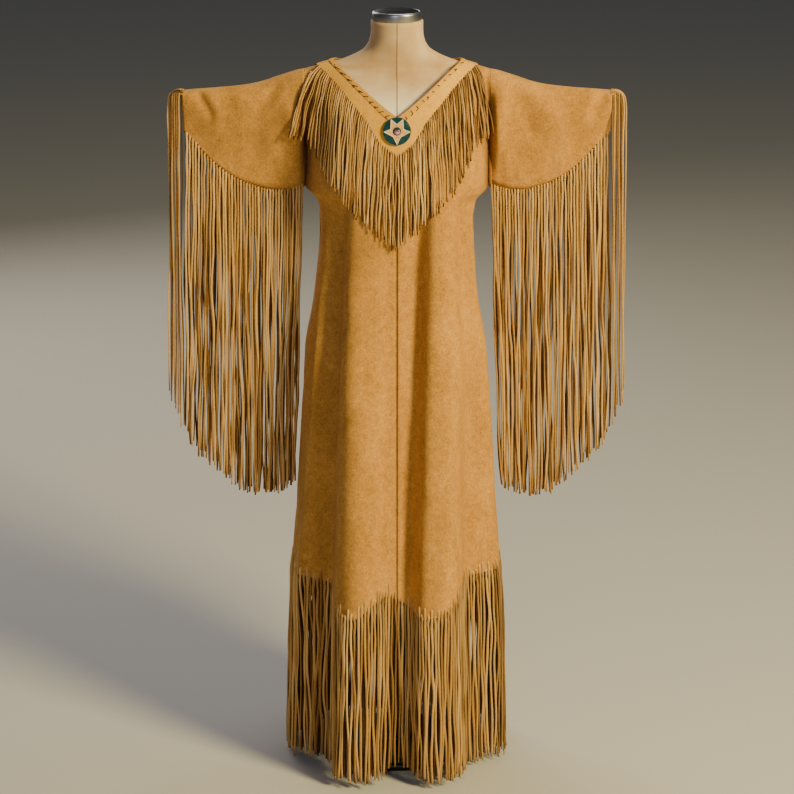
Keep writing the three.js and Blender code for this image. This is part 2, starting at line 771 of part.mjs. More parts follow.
function starGeometry() {
  const corner = (radius, degrees) => new THREE.Vector2(
    radius * Math.cos(radians(degrees)), radius * Math.sin(radians(degrees)));
  const shape = new THREE.Shape(starTurns.flatMap(({ tip, notch }) => [
    corner(rosette.starRadius, tip), corner(rosette.starWaist, notch)]));
  return new THREE.ExtrudeGeometry(shape, { depth: rosette.starThickness, bevelEnabled: false });
}

function rosetteGroup() {
  const rise = chestRise(0, rosette.z);
  const reach = 0.02;
  const seat = chestPoint(faces.front, 0, rise);
  const slope = chestPoint(faces.front, 0, rise + reach)
    .sub(chestPoint(faces.front, 0, rise - reach));
  const out = new THREE.Vector3(0, -slope.z, slope.y).normalize();
  const lift = 2 * laidGap + suede + bindingThickness + seamGap;
  const group = new THREE.Group();
  group.position.copy(seat.addScaledVector(out, lift));
  group.rotation.x = Math.PI / 2 - Math.atan2(out.z, -out.y);
  const { radius, thickness, starThickness, stoneRadius, stoneHeight } = rosette;
  const disc = turned([[0, 0], [radius - 1, 0], [radius, 0.9], [radius - 0.8, thickness], [0, thickness]]);
  const star = starGeometry().translate(0, 0, thickness + seamGap);
  const stoneZ = thickness + 2 * seamGap + starThickness;
  const stone = turned([
    [0, stoneZ], [stoneRadius, stoneZ], [stoneRadius, stoneZ + 0.35 * stoneHeight],
    [0.8 * stoneRadius, stoneZ + 0.75 * stoneHeight],
    [0.45 * stoneRadius, stoneZ + 0.95 * stoneHeight], [0, stoneZ + stoneHeight],
  ], 20);
  group.add(
    named("rosette_disc", disc, finishes.teal),
    named("rosette_star", star, finishes.cream),
    named("rosette_stone", stone, finishes.stone),
  );
  return group;
}

function formTorso() {
  const sheet = new Sheet();
  const rows = formSections.map((section) => {
    const row = [];
    for (let i = 0; i <= formSides; i += 1) {
      const turn = 2 * Math.PI * (i % formSides) / formSides;
      const depth = Math.cos(turn) > 0 ? section.front : section.back;
      row.push(new THREE.Vector3(
        section.halfWidth * signedPower(Math.sin(turn), 2 / section.power),
        -depth * signedPower(Math.cos(turn), 2 / section.power),
        section.z,
      ));
    }
    return row;
  });
  const centre = (z) => rows[0].map(() => new THREE.Vector3(0, 0, z));
  sheet.grid([centre(formSections[0].z), ...rows, centre(formSections.at(-1).z)], false);
  return geometryOf(sheet.points, sheet.triangles);
}

function capRing() {
  const { bottom, ringTop, radius } = cap;
  return turned([
    [0, bottom], [radius - 2, bottom], [radius, bottom + 2], [radius, ringTop - 2],
    [radius - 1.5, ringTop], [0, ringTop],
  ]);
}

function capTop() {
  const { ringTop, top, domeRadius } = cap;
  const low = ringTop + seamGap;
  return turned([
    [0, low], [domeRadius, low], [domeRadius, low + 1.2], [0.9 * domeRadius, top - 0.6],
    [0.5 * domeRadius, top], [0, top],
  ]);
}

function baseDisc() {
  const { radius, thickness, edge } = base;
  return turned([
    [0, 0], [radius, 0], [radius, thickness - edge], [radius - edge, thickness], [0, thickness],
  ], 40);
}

function pole() {
  const low = base.thickness + seamGap;
  const high = formSections[0].z - seamGap;
  return turned([[0, low], [poleRadius, low], [poleRadius, high], [0, high]], 20);
}

function named(name, geometry, finish) {
  const mesh = new THREE.Mesh(geometry, finish());
  mesh.name = name;
  return mesh;
}

const group = new THREE.Group();
group.add(
  named("front_left", panel(faces.front, [1]), finishes.suede),
  named("front_right", panel(faces.front, [-1]), finishes.suede),
  named("back", panel(faces.back, [1, -1]), finishes.suede),
  named("sleeve_left", sleeve(1), finishes.suede),
  named("sleeve_right", sleeve(-1), finishes.suede),
  named("yoke_front", yoke(faces.front), finishes.yoke),
  named("yoke_back", yoke(faces.back), finishes.yoke),
  named("neck_binding", neckBinding(), finishes.yoke),
  named("yoke_fringe_front", yokeFringe(faces.front, yokeStrands.front, frontYokeTips),
    finishes.fringe),
  named("yoke_fringe_back", yokeFringe(faces.back, yokeStrands.back, backYokeTips),
    finishes.fringe),
  named("sleeve_fringe_left", sleeveFringe(1), finishes.fringe),
  named("sleeve_fringe_right", sleeveFringe(-1), finishes.fringe),
  named("cuff_fringe_left", cuffFringe(1), finishes.fringe),
  named("cuff_fringe_right", cuffFringe(-1), finishes.fringe),
  named("hem_fringe_front_left", hemFringe(0, 90, hemStrands.front), finishes.fringe),
  named("hem_fringe_front_right", hemFringe(-90, 0, hemStrands.front), finishes.fringe),
  named("hem_fringe_back", hemFringe(90, 270, hemStrands.back), finishes.fringe),
  rosetteGroup(),
  named("form_torso", formTorso(), finishes.form),
  named("form_cap_ring", capRing(), finishes.chrome),
  named("form_cap_top", capTop(), finishes.black),
  named("form_pole", pole(), finishes.chrome),
  named("form_base", baseDisc(), finishes.black),
);

export default group;
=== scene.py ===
import functools
import math
import random

import bmesh
import bpy
from mathutils import Matrix, Vector, noise


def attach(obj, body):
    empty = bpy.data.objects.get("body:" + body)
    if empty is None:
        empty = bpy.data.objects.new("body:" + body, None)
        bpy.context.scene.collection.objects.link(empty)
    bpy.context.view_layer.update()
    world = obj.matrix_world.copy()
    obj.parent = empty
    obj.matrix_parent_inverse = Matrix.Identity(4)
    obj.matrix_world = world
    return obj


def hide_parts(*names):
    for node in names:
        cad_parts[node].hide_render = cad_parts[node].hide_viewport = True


# a fringed suede dress on a dress form: cloth, strands, beads and the form, laid over its solids
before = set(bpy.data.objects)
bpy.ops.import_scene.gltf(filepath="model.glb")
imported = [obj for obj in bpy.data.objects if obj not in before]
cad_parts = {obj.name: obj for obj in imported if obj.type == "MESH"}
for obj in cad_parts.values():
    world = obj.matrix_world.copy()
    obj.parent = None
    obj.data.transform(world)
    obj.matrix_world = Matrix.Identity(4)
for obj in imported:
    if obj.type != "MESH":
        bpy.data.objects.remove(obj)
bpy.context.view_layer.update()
print("frame loaded")

mm = 0.001
onceRound = 6.28  # radians

# camera and lights: places in metres, lamp sizes in metres, power in watts
view = {"place": (0.0, -4.5, 2.11), "pitch": 16.9, "lens": 108.7, "sensor": 36.0}
# name, place, what it is aimed at, size, power, tint
lights = [
    ("keyLight", (3.25, -2.85, 3.25), (0.0, 0.0, 0.85), 1.2, 390, "FFEDAC"),
    ("fillLight", (-0.8, -5.4, 2.3), (0.0, 0.0, 0.8), 2.0, 41, "DFE9FF"),
    ("topLight", (0.3, 0.6, 3.6), (0.0, 0.0, 1.0), 1.6, 24, "FFFFFF"),
    ("backLight", (-1.8, 3.4, 2.6), (0.0, 0.0, 0.9), 3.0, 60, "FFF6EA"),
]
surroundings = {"tint": "C4CFE6", "strength": 0.1, "floor": "C9C5BD", "floorHalf": 30.0}


def toLinear(hexColour):
    parts = [int(hexColour[i:i + 2], 16) / 255 for i in (0, 2, 4)]
    linear = [p / 12.92 if p <= 0.04045 else ((p + 0.055) / 1.055) ** 2.4 for p in parts]
    return (*linear, 1.0)


def makeCamera():
    data = bpy.data.cameras.new("camera")
    data.lens = view["lens"]
    data.sensor_width = view["sensor"]
    camera = bpy.data.objects.new("camera", data)
    camera.location = view["place"]
    camera.rotation_euler = (math.radians(90 - view["pitch"]), 0, 0)
    bpy.context.collection.objects.link(camera)
    bpy.context.scene.camera = camera


def makeLights():
    for name, place, aim, size, power, tint in lights:
        data = bpy.data.lights.new(name, "AREA")
        data.shape = "DISK"
        data.size = size
        data.energy = power
        data.color = toLinear(tint)[:3]
        lamp = bpy.data.objects.new(name, data)
        lamp.location = place
        lamp.rotation_euler = (Vector(aim) - Vector(place)).to_track_quat("-Z", "Y").to_euler()
        bpy.context.collection.objects.link(lamp)
    world = bpy.data.worlds.new("studio")
    world.use_nodes = True
    back = world.node_tree.nodes["Background"]
    back.inputs["Color"].default_value = toLinear(surroundings["tint"])
    back.inputs["Strength"].default_value = surroundings["strength"]
    bpy.context.scene.world = world


makeCamera()
makeLights()
print("camera and lights placed")


# one node with its settings and links; a colour ramp also takes its stops
def addNode(tree, kind, inputs=None, stops=(), **settings):
    node = tree.nodes.new(kind)
    for name, value in settings.items():
        setattr(node, name, value)
    for name, value in (inputs or {}).items():
        if isinstance(value, bpy.types.NodeSocket):
            tree.links.new(value, node.inputs[name])
        else:
            node.inputs[name].default_value = value
    while len(stops) > 2 and len(node.color_ramp.elements) < len(stops):
        node.color_ramp.elements.new(0.5)
    for k, (place, colour) in enumerate(stops):
        node.color_ramp.elements[k].position = place
        node.color_ramp.elements[k].color = toLinear(colour)
    return node


def newMaterial(name):
    material = bpy.data.materials.new(name)
    material.use_nodes = True
    tree = material.node_tree
    tree.nodes.clear()
    return material, tree, addNode(tree, "ShaderNodeTexCoord").outputs["Object"]


def giveSurface(tree, inputs):
    shader = addNode(tree, "ShaderNodeBsdfPrincipled", inputs)
    addNode(tree, "ShaderNodeOutputMaterial", {"Surface": shader.outputs["BSDF"]})


# Brushed suede, a split hide with a raised nap: fully matt, with patches where the nap lies another
# way, drawn out down the hide, and a pale bloom at grazing angles. The real nap is under 1 mm and is
# drawn at about 4 mm, so that it shows.
suedeLooks = {
    "suedeBody": {"stops": [(0.30, "835820"), (0.43, "B07C37"), (0.55, "C98F44"), (0.69, "DEAB5A")],
                  "patchMm": 46, "mottleMm": 12, "napMm": 4.0, "napDepth": 0.0016},
    "suedeYoke": {"stops": [(0.26, "BF862F"), (0.44, "E0A23C"), (0.58, "F0B44A"), (0.74, "F8C258")],
                  "patchMm": 55, "mottleMm": 9, "napMm": 3.6, "napDepth": 0.001},
}


def makeSuede(name, look):
    material, tree, place = newMaterial(name)
    drawnOut = addNode(tree, "ShaderNodeMapping", {"Vector": place, "Scale": (1.0, 1.0, 0.4)})
    patch = addNode(tree, "ShaderNodeTexNoise", {
        "Vector": drawnOut.outputs["Vector"], "Scale": 1000 / look["patchMm"], "Detail": 3.0,
        "Roughness": 0.55, "Distortion": 0.5})
    mottle = addNode(tree, "ShaderNodeTexNoise", {
        "Vector": place, "Scale": 1000 / look["mottleMm"], "Detail": 4.0, "Roughness": 0.6})
    nap = addNode(tree, "ShaderNodeTexNoise", {
        "Vector": place, "Scale": 1000 / look["napMm"], "Detail": 3.0, "Roughness": 0.7})
    blend = addNode(tree, "ShaderNodeMix", {
        "Factor": 0.48, "A": patch.outputs["Fac"], "B": mottle.outputs["Fac"]})
    fine = addNode(tree, "ShaderNodeMix", {
        "Factor": 0.45, "A": blend.outputs["Result"], "B": nap.outputs["Fac"]})
    colour = addNode(tree, "ShaderNodeValToRGB", {"Fac": fine.outputs["Result"]}, look["stops"])
    # seamShade multiplies in a dark brown: painted shade at seams, armholes and the binding's edges, and
    # the binding's own browner tint
    seam = addNode(tree, "ShaderNodeAttribute", attribute_name="seamShade")
    darkened = addNode(tree, "ShaderNodeMix", {
        "Factor": seam.outputs["Fac"], "A": colour.outputs["Color"], "B": toLinear("5A3312")},
        data_type="RGBA", blend_type="MULTIPLY")
    relief = addNode(tree, "ShaderNodeMix", {
        "Factor": 0.35, "A": nap.outputs["Fac"], "B": mottle.outputs["Fac"]})
    bump = addNode(tree, "ShaderNodeBump", {
        "Strength": 0.55, "Distance": look["napDepth"], "Height": relief.outputs["Result"]})
    giveSurface(tree, {
        "Base Color": darkened.outputs["Result"], "Normal": bump.outputs["Normal"], "Roughness": 0.95,
        "Specular IOR Level": 0.16, "Sheen Weight": 0.11, "Sheen Roughness": 0.6,
        "Sheen Tint": toLinear("EFCB96")})
    return material


# Cut suede strands: the same hide, with a nap face, darker raw edges that also carry painted shade for the
# gaps between strands, and a tone of their own that is set dark as painted shade on the under layers
strandLook = {"stops": [(0.12, "2A170A"), (0.34, "795128"), (0.55, "BF9152"), (0.82, "E4BA7E")],
              "edge": "55300F", "grainMm": 3.5, "cloudMm": 40}


def makeStrandSuede(name):
    material, tree, place = newMaterial(name)
    tone = addNode(tree, "ShaderNodeAttribute", attribute_name="tone")
    rim = addNode(tree, "ShaderNodeAttribute", attribute_name="rim")
    grain = addNode(tree, "ShaderNodeTexNoise", {
        "Vector": place, "Scale": 1000 / strandLook["grainMm"], "Detail": 3.0, "Roughness": 0.65})
    cloud = addNode(tree, "ShaderNodeTexNoise", {
        "Vector": place, "Scale": 1000 / strandLook["cloudMm"], "Detail": 2.0, "Roughness": 0.5})
    mixed = addNode(tree, "ShaderNodeMix", {
        "Factor": 0.2, "A": tone.outputs["Fac"], "B": cloud.outputs["Fac"]})
    soft = addNode(tree, "ShaderNodeMix", {
        "Factor": 0.22, "A": mixed.outputs["Result"], "B": grain.outputs["Fac"]})
    face = addNode(tree, "ShaderNodeValToRGB", {"Fac": soft.outputs["Result"]}, strandLook["stops"])
    # the rim mixes in the edge colour: the raw edges' own darker colour plus painted shade between strands
    colour = addNode(tree, "ShaderNodeMix", {
        "Factor": rim.outputs["Fac"], "A": face.outputs["Color"], "B": toLinear(strandLook["edge"])},
        data_type="RGBA")
    bump = addNode(tree, "ShaderNodeBump", {
        "Strength": 0.5, "Distance": 0.0006, "Height": grain.outputs["Fac"]})
    giveSurface(tree, {
        "Base Color": colour.outputs["Result"], "Normal": bump.outputs["Normal"], "Roughness": 0.93,
        "Specular IOR Level": 0.12, "Sheen Weight": 0.08, "Sheen Roughness": 0.55,
        "Sheen Tint": toLinear("E9B868")})
    return material


# Hard pieces and thread: one colour, broken up by a darker or lighter speck of speckMm
plainLooks = {
    # pressed glass seed beads: opaque and glossy, each with its own small highlight
    "tealBeads": {"colour": "0B555C", "speck": "063A42", "speckMm": 3.5, "rough": 0.22},
    "creamBeads": {"colour": "FFF6DE", "speck": "F0DDB4", "speckMm": 3.5, "rough": 0.25},
    "ochreBeads": {"colour": "F2C67F", "speck": "E2AC5E", "speckMm": 3.5, "rough": 0.3},
    # dark glass rim round the stone: a thin black line with a gloss
    "stoneRim": {"colour": "16121A", "speck": "15111A", "speckMm": 3.0, "rough": 0.3},
    # pressed steel, chromed and worn: bright metal with soft reflections
    "chromedSteel": {"colour": "A9AAAC", "speck": "A2A3A6", "speckMm": 9.0, "rough": 0.34, "metal": 1.0},
    # moulded ABS: nearly black, satin
    "blackPlastic": {"colour": "0D0B0A", "speck": "141110", "speckMm": 5.0, "rough": 0.5, "ior": 1.46,
                     "specular": 0.12},
    # enamel baked on cast iron: dark, smooth, with a broad sheen
    "blackEnamel": {"colour": "171513", "speck": "23201C", "speckMm": 5.0, "rough": 0.38},
    # waxed linen thread: dark brown and dull
    "laceThread": {"colour": "4A2A12", "speck": "2E190A", "speckMm": 2.0, "rough": 0.8, "ior": 1.45},
}


def makePlain(name, look):
    material, tree, place = newMaterial(name)
    speck = addNode(tree, "ShaderNodeTexNoise", {
        "Vector": place, "Scale": 1000 / look["speckMm"], "Detail": 2.0})
    colour = addNode(tree, "ShaderNodeValToRGB", {"Fac": speck.outputs["Fac"]}, [
        (0.35, look["speck"]), (0.6, look["colour"])])
    bump = addNode(tree, "ShaderNodeBump", {
        "Strength": 0.15, "Distance": 0.0002, "Height": speck.outputs["Fac"]})
    giveSurface(tree, {
        "Base Color": colour.outputs["Color"], "Normal": bump.outputs["Normal"], "Roughness": look["rough"],
        "Metallic": look.get("metal", 0.0), "IOR": look.get("ior", 1.5),
        "Specular IOR Level": look.get("specular", 0.5)})
    return material


# Polished cabochon: a milky glass stone, blue-grey above and pink below, with soft veins
stoneLook = {"stops": [(0.28, "F3B4C2"), (0.42, "D98FA4"), (0.54, "3C4A55"), (0.7, "1B2A30")],
             "veinScale": 190.0}  # veins about 5 mm apart


def makeStone(name, centreZ, reach):
    material, tree, place = newMaterial(name)
    axes = addNode(tree, "ShaderNodeSeparateXYZ", {"Vector": place})
    veins = addNode(tree, "ShaderNodeTexNoise", {
        "Vector": place, "Scale": stoneLook["veinScale"], "Detail": 4.0, "Distortion": 1.6})
    height = addNode(tree, "ShaderNodeMapRange", {
        "Value": axes.outputs["Z"], "From Min": centreZ - reach, "From Max": centreZ + reach})
    blend = addNode(tree, "ShaderNodeMix", {
        "Factor": 0.5, "A": height.outputs["Result"], "B": veins.outputs["Fac"]})
    colour = addNode(tree, "ShaderNodeValToRGB", {"Fac": blend.outputs["Result"]}, stoneLook["stops"])
    giveSurface(tree, {
        "Base Color": colour.outputs["Color"], "Roughness": 0.08, "IOR": 1.54, "Coat Weight": 0.5})
    return material


# Cotton jersey stretched over the form: a fine knit, matt, with a painted glow of light on the chest and
# painted shade towards the neck
jerseyLook = {"shadedNeck": [(0.3, "BD9460"), (0.5, "CDA878"), (0.7, "DABB8E")],
              "litChest": [(0.3, "EDD8AE"), (0.5, "F8E8C6"), (0.7, "FFF3D8")],
              "litChestTop": 1.315, "shadedNeckFrom": 1.385, "seam": "4A2810",
              "stainScale": 14.0, "knitScale": 900.0}  # stains about 70 mm across, stitches 1.1 mm apart


def makeFormCloth(name):
    material, tree, place = newMaterial(name)
    stain = addNode(tree, "ShaderNodeTexNoise", {
        "Vector": place, "Scale": jerseyLook["stainScale"], "Detail": 4.0, "Roughness": 0.55})
    axes = addNode(tree, "ShaderNodeSeparateXYZ", {"Vector": place})
    shadedNeck = addNode(tree, "ShaderNodeValToRGB", {"Fac": stain.outputs["Fac"]}, jerseyLook["shadedNeck"])
    litChest = addNode(tree, "ShaderNodeValToRGB", {"Fac": stain.outputs["Fac"]}, jerseyLook["litChest"])
    # painted light: the bright ramp below the first level is a painted glow, the darker ramp above the
    # second is painted shade
    height = addNode(tree, "ShaderNodeMapRange", {
        "Value": axes.outputs["Z"], "From Min": jerseyLook["litChestTop"], "From Max": jerseyLook["shadedNeckFrom"]},
        interpolation_type="SMOOTHSTEP")
    colour = addNode(tree, "ShaderNodeMix", {
        "Factor": height.outputs["Result"], "A": litChest.outputs["Color"], "B": shadedNeck.outputs["Color"]},
        data_type="RGBA")
    seam = addNode(tree, "ShaderNodeAttribute", attribute_name="seamShade")
    seamed = addNode(tree, "ShaderNodeMix", {
        "Factor": seam.outputs["Fac"], "A": colour.outputs["Result"], "B": toLinear(jerseyLook["seam"])},
        data_type="RGBA")
    knit = addNode(tree, "ShaderNodeTexVoronoi", {"Vector": place, "Scale": jerseyLook["knitScale"]})
    bump = addNode(tree, "ShaderNodeBump", {
        "Strength": 0.2, "Distance": 0.0003, "Height": knit.outputs["Distance"]})
    giveSurface(tree, {
        "Base Color": seamed.outputs["Result"], "Normal": bump.outputs["Normal"], "Roughness": 0.82,
        "Specular IOR Level": 0.2, "Sheen Weight": 0.12})
    return material


# Matt floor paint: plain and pale, with no gloss
def makeFloorPaint(name):
    material, tree, _ = newMaterial(name)
    giveSurface(tree, {"Base Color": toLinear(surroundings["floor"]), "Roughness": 0.9})
    return material


finishes = {name: makeSuede(name, look) for name, look in suedeLooks.items()}
finishes |= {name: makePlain(name, look) for name, look in plainLooks.items()}
finishes["suedeStrand"] = makeStrandSuede("suedeStrand")
finishes["formCloth"] = makeFormCloth("formCloth")
finishes["floorPaint"] = makeFloorPaint("floorPaint")
print("finishes made")

# the dress as its pattern gives it; from here on every length is in millimetres
dress = {
    "underarmZ": 1165.0, "armholeX": 174.0, "sleeveStartX": 174.05, "cuffX": 405.0,
    "chestFront": 112.0, "chestBack": 92.0, "chestPower": 2.25, "shoulderPower": 2.6, "armholePower": 6,
    "shoulderX": 129.0, "shoulderZ": 1402.7, "shoulderFall": 0.293, "yokePointX": 151.0,
    "thickness": 1.8, "halfSeam": 0.15, "hemZ": 378.3,
}

# level: half width, front depth, back depth, roundness
bodySections = [
    (0, 217, 202, 190, 2.1), (370, 206.5, 190, 178, 2.1), (441, 201.6, 183, 172, 2.1),
    (560, 191, 172, 160, 2.15), (664, 184, 163, 150, 2.2), (742, 179.7, 154, 141, 2.2),
    (830, 175.5, 141, 127, 2.25), (887, 169, 130, 116, 2.25), (940, 160, 120, 106, 2.25),
    (984, 154.5, 112, 97, 2.25), (1044, 150, 106, 89, 2.25), (1101, 147.6, 108, 88, 2.25),
    (1142, 152, 111, 91, 2.25), (1165, 174, 112, 92, 2.25),
]
# hem angle from the front centre, top angle, depth at the hem, spread
standingFolds = [
    (3, 10, -34, 10), (20, 37, 34, 11), (50, 56, -28, 10), (70, 72, 12, 10), (105, 103, -18, 10),
    (125, 122, 24, 11), (148, 146, -22, 10), (170, 168, 24, 11), (192, 190, -24, 10),
    (215, 214, 22, 11), (238, 238, -18, 10), (260, 259, 8, 10), (288, 286, 8, 10),
    (312, 315, -36, 12), (340, 336, 34, 11),
]
# level: share of a fold's depth there
foldGrowth = [(0, 1.04), (378, 1), (700, 0.7), (1000, 0.35), (1120, 0.14), (1165, 0)]

# by face, -1 the front and 1 the back: place from the centre, level
necklines = {
    -1: [(0, 1312), (41, 1343.5), (74, 1371), (100, 1391.5), (121, 1405.044)],
    1: [(0, 1385), (40, 1386.5), (75, 1391), (100, 1398), (121, 1405.044)],
}
yokeEdges = {
    -1: [(0, 1241), (32, 1266), (57, 1305), (82, 1335), (107, 1364), (132, 1386), (151, 1396.254)],
    1: [(0, 1338), (40, 1342), (80, 1356), (115, 1377), (151, 1396.254)],
}
# place along the sleeve: top, bottom, half depth
sleeveSections = [
    (174, 1389.515, 1165, 52), (190, 1386.5, 1158, 49), (208, 1381, 1153, 46), (228, 1374.5, 1150.5, 43),
    (250, 1367, 1152, 40), (275, 1361, 1159, 37), (300, 1357.5, 1169, 34), (325, 1355, 1184, 31.5),
    (350, 1353, 1205, 29), (378, 1351, 1236, 27), (405, 1348.5, 1268, 25),
]


def mix(a, b, t):
    return a + (b - a) * t


def clamp(value, low=0.0, high=1.0):
    return min(max(value, low), high)


def stretchAt(rows, at):
    row = 0
    while row < len(rows) - 2 and at > rows[row + 1][0]:
        row += 1
    return row


def slopeAt(rows, column, index):
    low, high = rows[max(index - 1, 0)], rows[min(index + 1, len(rows) - 1)]
    return (high[column] - low[column]) / (high[0] - low[0])


def smoothAt(rows, column, at):
    row = stretchAt(rows, at)
    span = rows[row + 1][0] - rows[row][0]
    t = clamp((at - rows[row][0]) / span)
    step = rows[row + 1][column] - rows[row][column]
    startBend = slopeAt(rows, column, row) * span - step
    endBend = step - slopeAt(rows, column, row + 1) * span
    level = mix(rows[row][column], rows[row + 1][column], t)
    return level + t * (1 - t) * (startBend * (1 - t) + endBend * t)


def straightAt(rows, column, at):
    row = stretchAt(rows, at)
    t = clamp((at - rows[row][0]) / (rows[row + 1][0] - rows[row][0]))
    return mix(rows[row][column], rows[row + 1][column], t)


@functools.lru_cache(None)
def bodyAt(z):
    return tuple(smoothAt(bodySections, column, z) for column in (1, 2, 3, 4))


@functools.lru_cache(None)
def sleeveAt(x):
    return tuple(smoothAt(sleeveSections, column, x) for column in (1, 2, 3))


def shoulderHeight(x):
    return dress["shoulderZ"] - dress["shoulderFall"] * (abs(x) - dress["shoulderX"])


def signedPower(value, power):
    return math.copysign(abs(value) ** power, value)


def foldPush(degrees, z):
    rise = clamp((z - dress["hemZ"]) / (dress["underarmZ"] - dress["hemZ"]))
    push = 0.0
    for hemAngle, topAngle, depth, spread in standingFolds:
        away = (degrees - mix(hemAngle, topAngle, rise) + 180) % 360 - 180
        if abs(away) < 4.5 * spread:
            push += depth * math.exp(-0.5 * (away / spread) ** 2)
    return push * straightAt(foldGrowth, 1, z)


def outwardsAt(degrees):
    return Vector((math.sin(math.radians(degrees)), -math.cos(math.radians(degrees)), 0))


def skirtPoint(degrees, z, out=0.0):
    halfWidth, front, back, power = bodyAt(z)
    sine, cosine = math.sin(math.radians(degrees)), math.cos(math.radians(degrees))
    depth = front if cosine > 0 else back
    push = foldPush(degrees, z) + out
    x = halfWidth * signedPower(sine, 2 / power) + push * sine
    y = -depth * signedPower(cosine, 2 / power) - push * cosine
    return Vector((x, y, z))


# the hem is cut lower on the standing ridges than in the valleys and at the sides: angle, level
hemCut = [
    (-90, 414), (-70, 412), (-60, 399), (-50, 385), (-40, 373), (-30, 366), (-20, 356), (-12, 380),
    (-5, 395), (0, 383), (6, 369), (12, 358), (18, 360), (28, 378), (36, 388), (46, 402), (60, 410),
    (90, 414),
]
backHem = {"level": 414.0, "ridge": 0.8}


def hemLine(degrees):
    around = (degrees + 180) % 360 - 180
    if abs(around) <= 90:
        return smoothAt(hemCut, 1, around)
    fade = clamp((abs(around) - 90) / 20)
    return backHem["level"] - backHem["ridge"] * fade * max(0.0, foldPush(degrees, dress["hemZ"]))


def riseShare(h):
    return math.sin(h * math.pi / 2) ** (2 / dress["shoulderPower"])


def depthShare(h):
    return max(math.cos(h * math.pi / 2), 0.0) ** (2 / dress["shoulderPower"])


def riseOf(share):
    return math.asin(clamp(share) ** (dress["shoulderPower"] / 2)) / (math.pi / 2)


def sleeveBulge(h):
    return math.sin(math.pi * h) * (0.45 + 0.55 * h)


def chestPoint(face, x, h):
    outward = min(abs(x) / dress["armholeX"], 1.0)
    armShare = outward ** dress["armholePower"]
    settle = clamp(h / 0.25)
    settle = settle * settle * (3 - 2 * settle)
    across = (1 - outward ** dress["chestPower"]) ** (1 / dress["chestPower"])
    depth = dress["chestFront"] if face < 0 else dress["chestBack"]
    chest = depth * across * depthShare(h) * (1 - armShare * settle)
    arm = armShare * sleeveSections[0][3] * sleeveBulge(h)
    z = mix(dress["underarmZ"], shoulderHeight(x), riseShare(h))
    return Vector((x, face * (chest + arm), z))


def chestRise(x, z):
    return riseOf((z - dress["underarmZ"]) / (shoulderHeight(x) - dress["underarmZ"]))


@functools.lru_cache(None)
def edgeRows(edge):
    rows = [(0.0, *edge[0])]
    for before, after in zip(edge, edge[1:]):
        rows.append((rows[-1][0] + math.dist(before, after), *after))
    return [(row[0] / rows[-1][0], row[1], row[2]) for row in rows]


def alongEdge(edge, share):
    rows = edgeRows(tuple(edge))
    return smoothAt(rows, 1, share), smoothAt(rows, 2, share)


def bandPoint(face, side, u, v):
    lowX, lowZ = alongEdge(yokeEdges[face], u)
    highX, highZ = alongEdge(necklines[face], u)
    x = mix(lowX, highX, v)
    rise = 1.0 if u >= 1 else chestRise(x, mix(lowZ, highZ, v))
    return chestPoint(face, side * x, rise)


def bandNormal(face, side, u, v, reach=0.01):
    def near(u, v):
        return bandPoint(face, side, clamp(u, 0, 0.999), clamp(v))

    along = near(u + reach, v) - near(u - reach, v)
    up = near(u, v + reach) - near(u, v - reach)
    normal = along.cross(up) * (-side * face)
    if u > 0.97:
        normal.y *= clamp((1 - u) / 0.03)
    if u < 0.001:
        normal.x = 0.0
    return normal.normalized()


def sleevePoint(x, h, side, face):
    top, bottom, halfDepth = sleeveAt(x)
    return Vector((side * x, face * halfDepth * sleeveBulge(h), mix(bottom, top, riseShare(h))))


# how far the dress stands out at a place, seen from the front or the back
def surfaceDepth(face, x, z):
    reach = abs(x)
    if reach >= dress["armholeX"]:
        top, bottom, halfDepth = sleeveAt(reach)
        return halfDepth * sleeveBulge(riseOf((z - bottom) / (top - bottom)))
    if z >= dress["underarmZ"]:
        return abs(chestPoint(face, x, chestRise(x, z)).y)
    centre, turn = (0, 1) if face < 0 else (180, -1)
    turn *= 1 if x >= 0 else -1
    inner, outer = 0.0, 90.0
    for _ in range(16):
        middle = (inner + outer) / 2
        if abs(skirtPoint(centre + turn * middle, z).x) < reach:
            inner = middle
        else:
            outer = middle
    return abs(skirtPoint(centre + turn * inner, z).y)


# creases, soft troughs and ridges listed for each face:
# start x and z, end x and z, half width, depth (plus is a ridge)
bodyCreases = {
    -1: [
        (-150, 1172, -104, 1040, 9, -3.5), (-138, 1150, -86, 960, 12, 3.0),
        (-152, 1130, -128, 900, 9, -3.0), (152, 1180, 116, 1075, 8, -4.0),
        (160, 1172, 138, 1120, 7, 4.5), (148, 1120, 128, 930, 10, -2.6),
        (-60, 1080, -76, 760, 16, 2.4), (78, 1060, 88, 700, 15, 2.0), (-17, 980, -16, 520, 8, -3.2),
        (132, 820, 140, 420, 13, -2.6), (-132, 1010, -178, 360, 11, 19.0),
        (-118, 1230, -80, 1150, 14, 2.4), (112, 1240, 84, 1150, 14, 2.2),
        (-140, 860, -152, 690, 6, 3.5), (-150, 700, -160, 520, 6, -3.5), (-126, 950, -146, 620, 7, -2.0),
        (146, 960, 160, 560, 9, -3.5), (112, 1000, 120, 640, 12, 2.6), (26, 1000, 22, 640, 10, 2.2),
    ],
    1: [
        (-148, 1170, -96, 1030, 10, -3.6), (146, 1168, 100, 1020, 10, -3.4), (-60, 1120, -52, 800, 16, 2.2),
        (64, 1100, 60, 820, 15, 2.4), (4, 1000, -8, 560, 16, -2.4), (128, 780, 140, 440, 13, -2.6),
        (-126, 800, -138, 450, 12, 2.4), (-156, 1290, -146, 1185, 10, -5.5),
        (156, 1290, 146, 1185, 10, -5.5), (-90, 1150, -20, 1120, 14, -1.8), (90, 1150, 24, 1118, 14, -1.8),
    ],
}
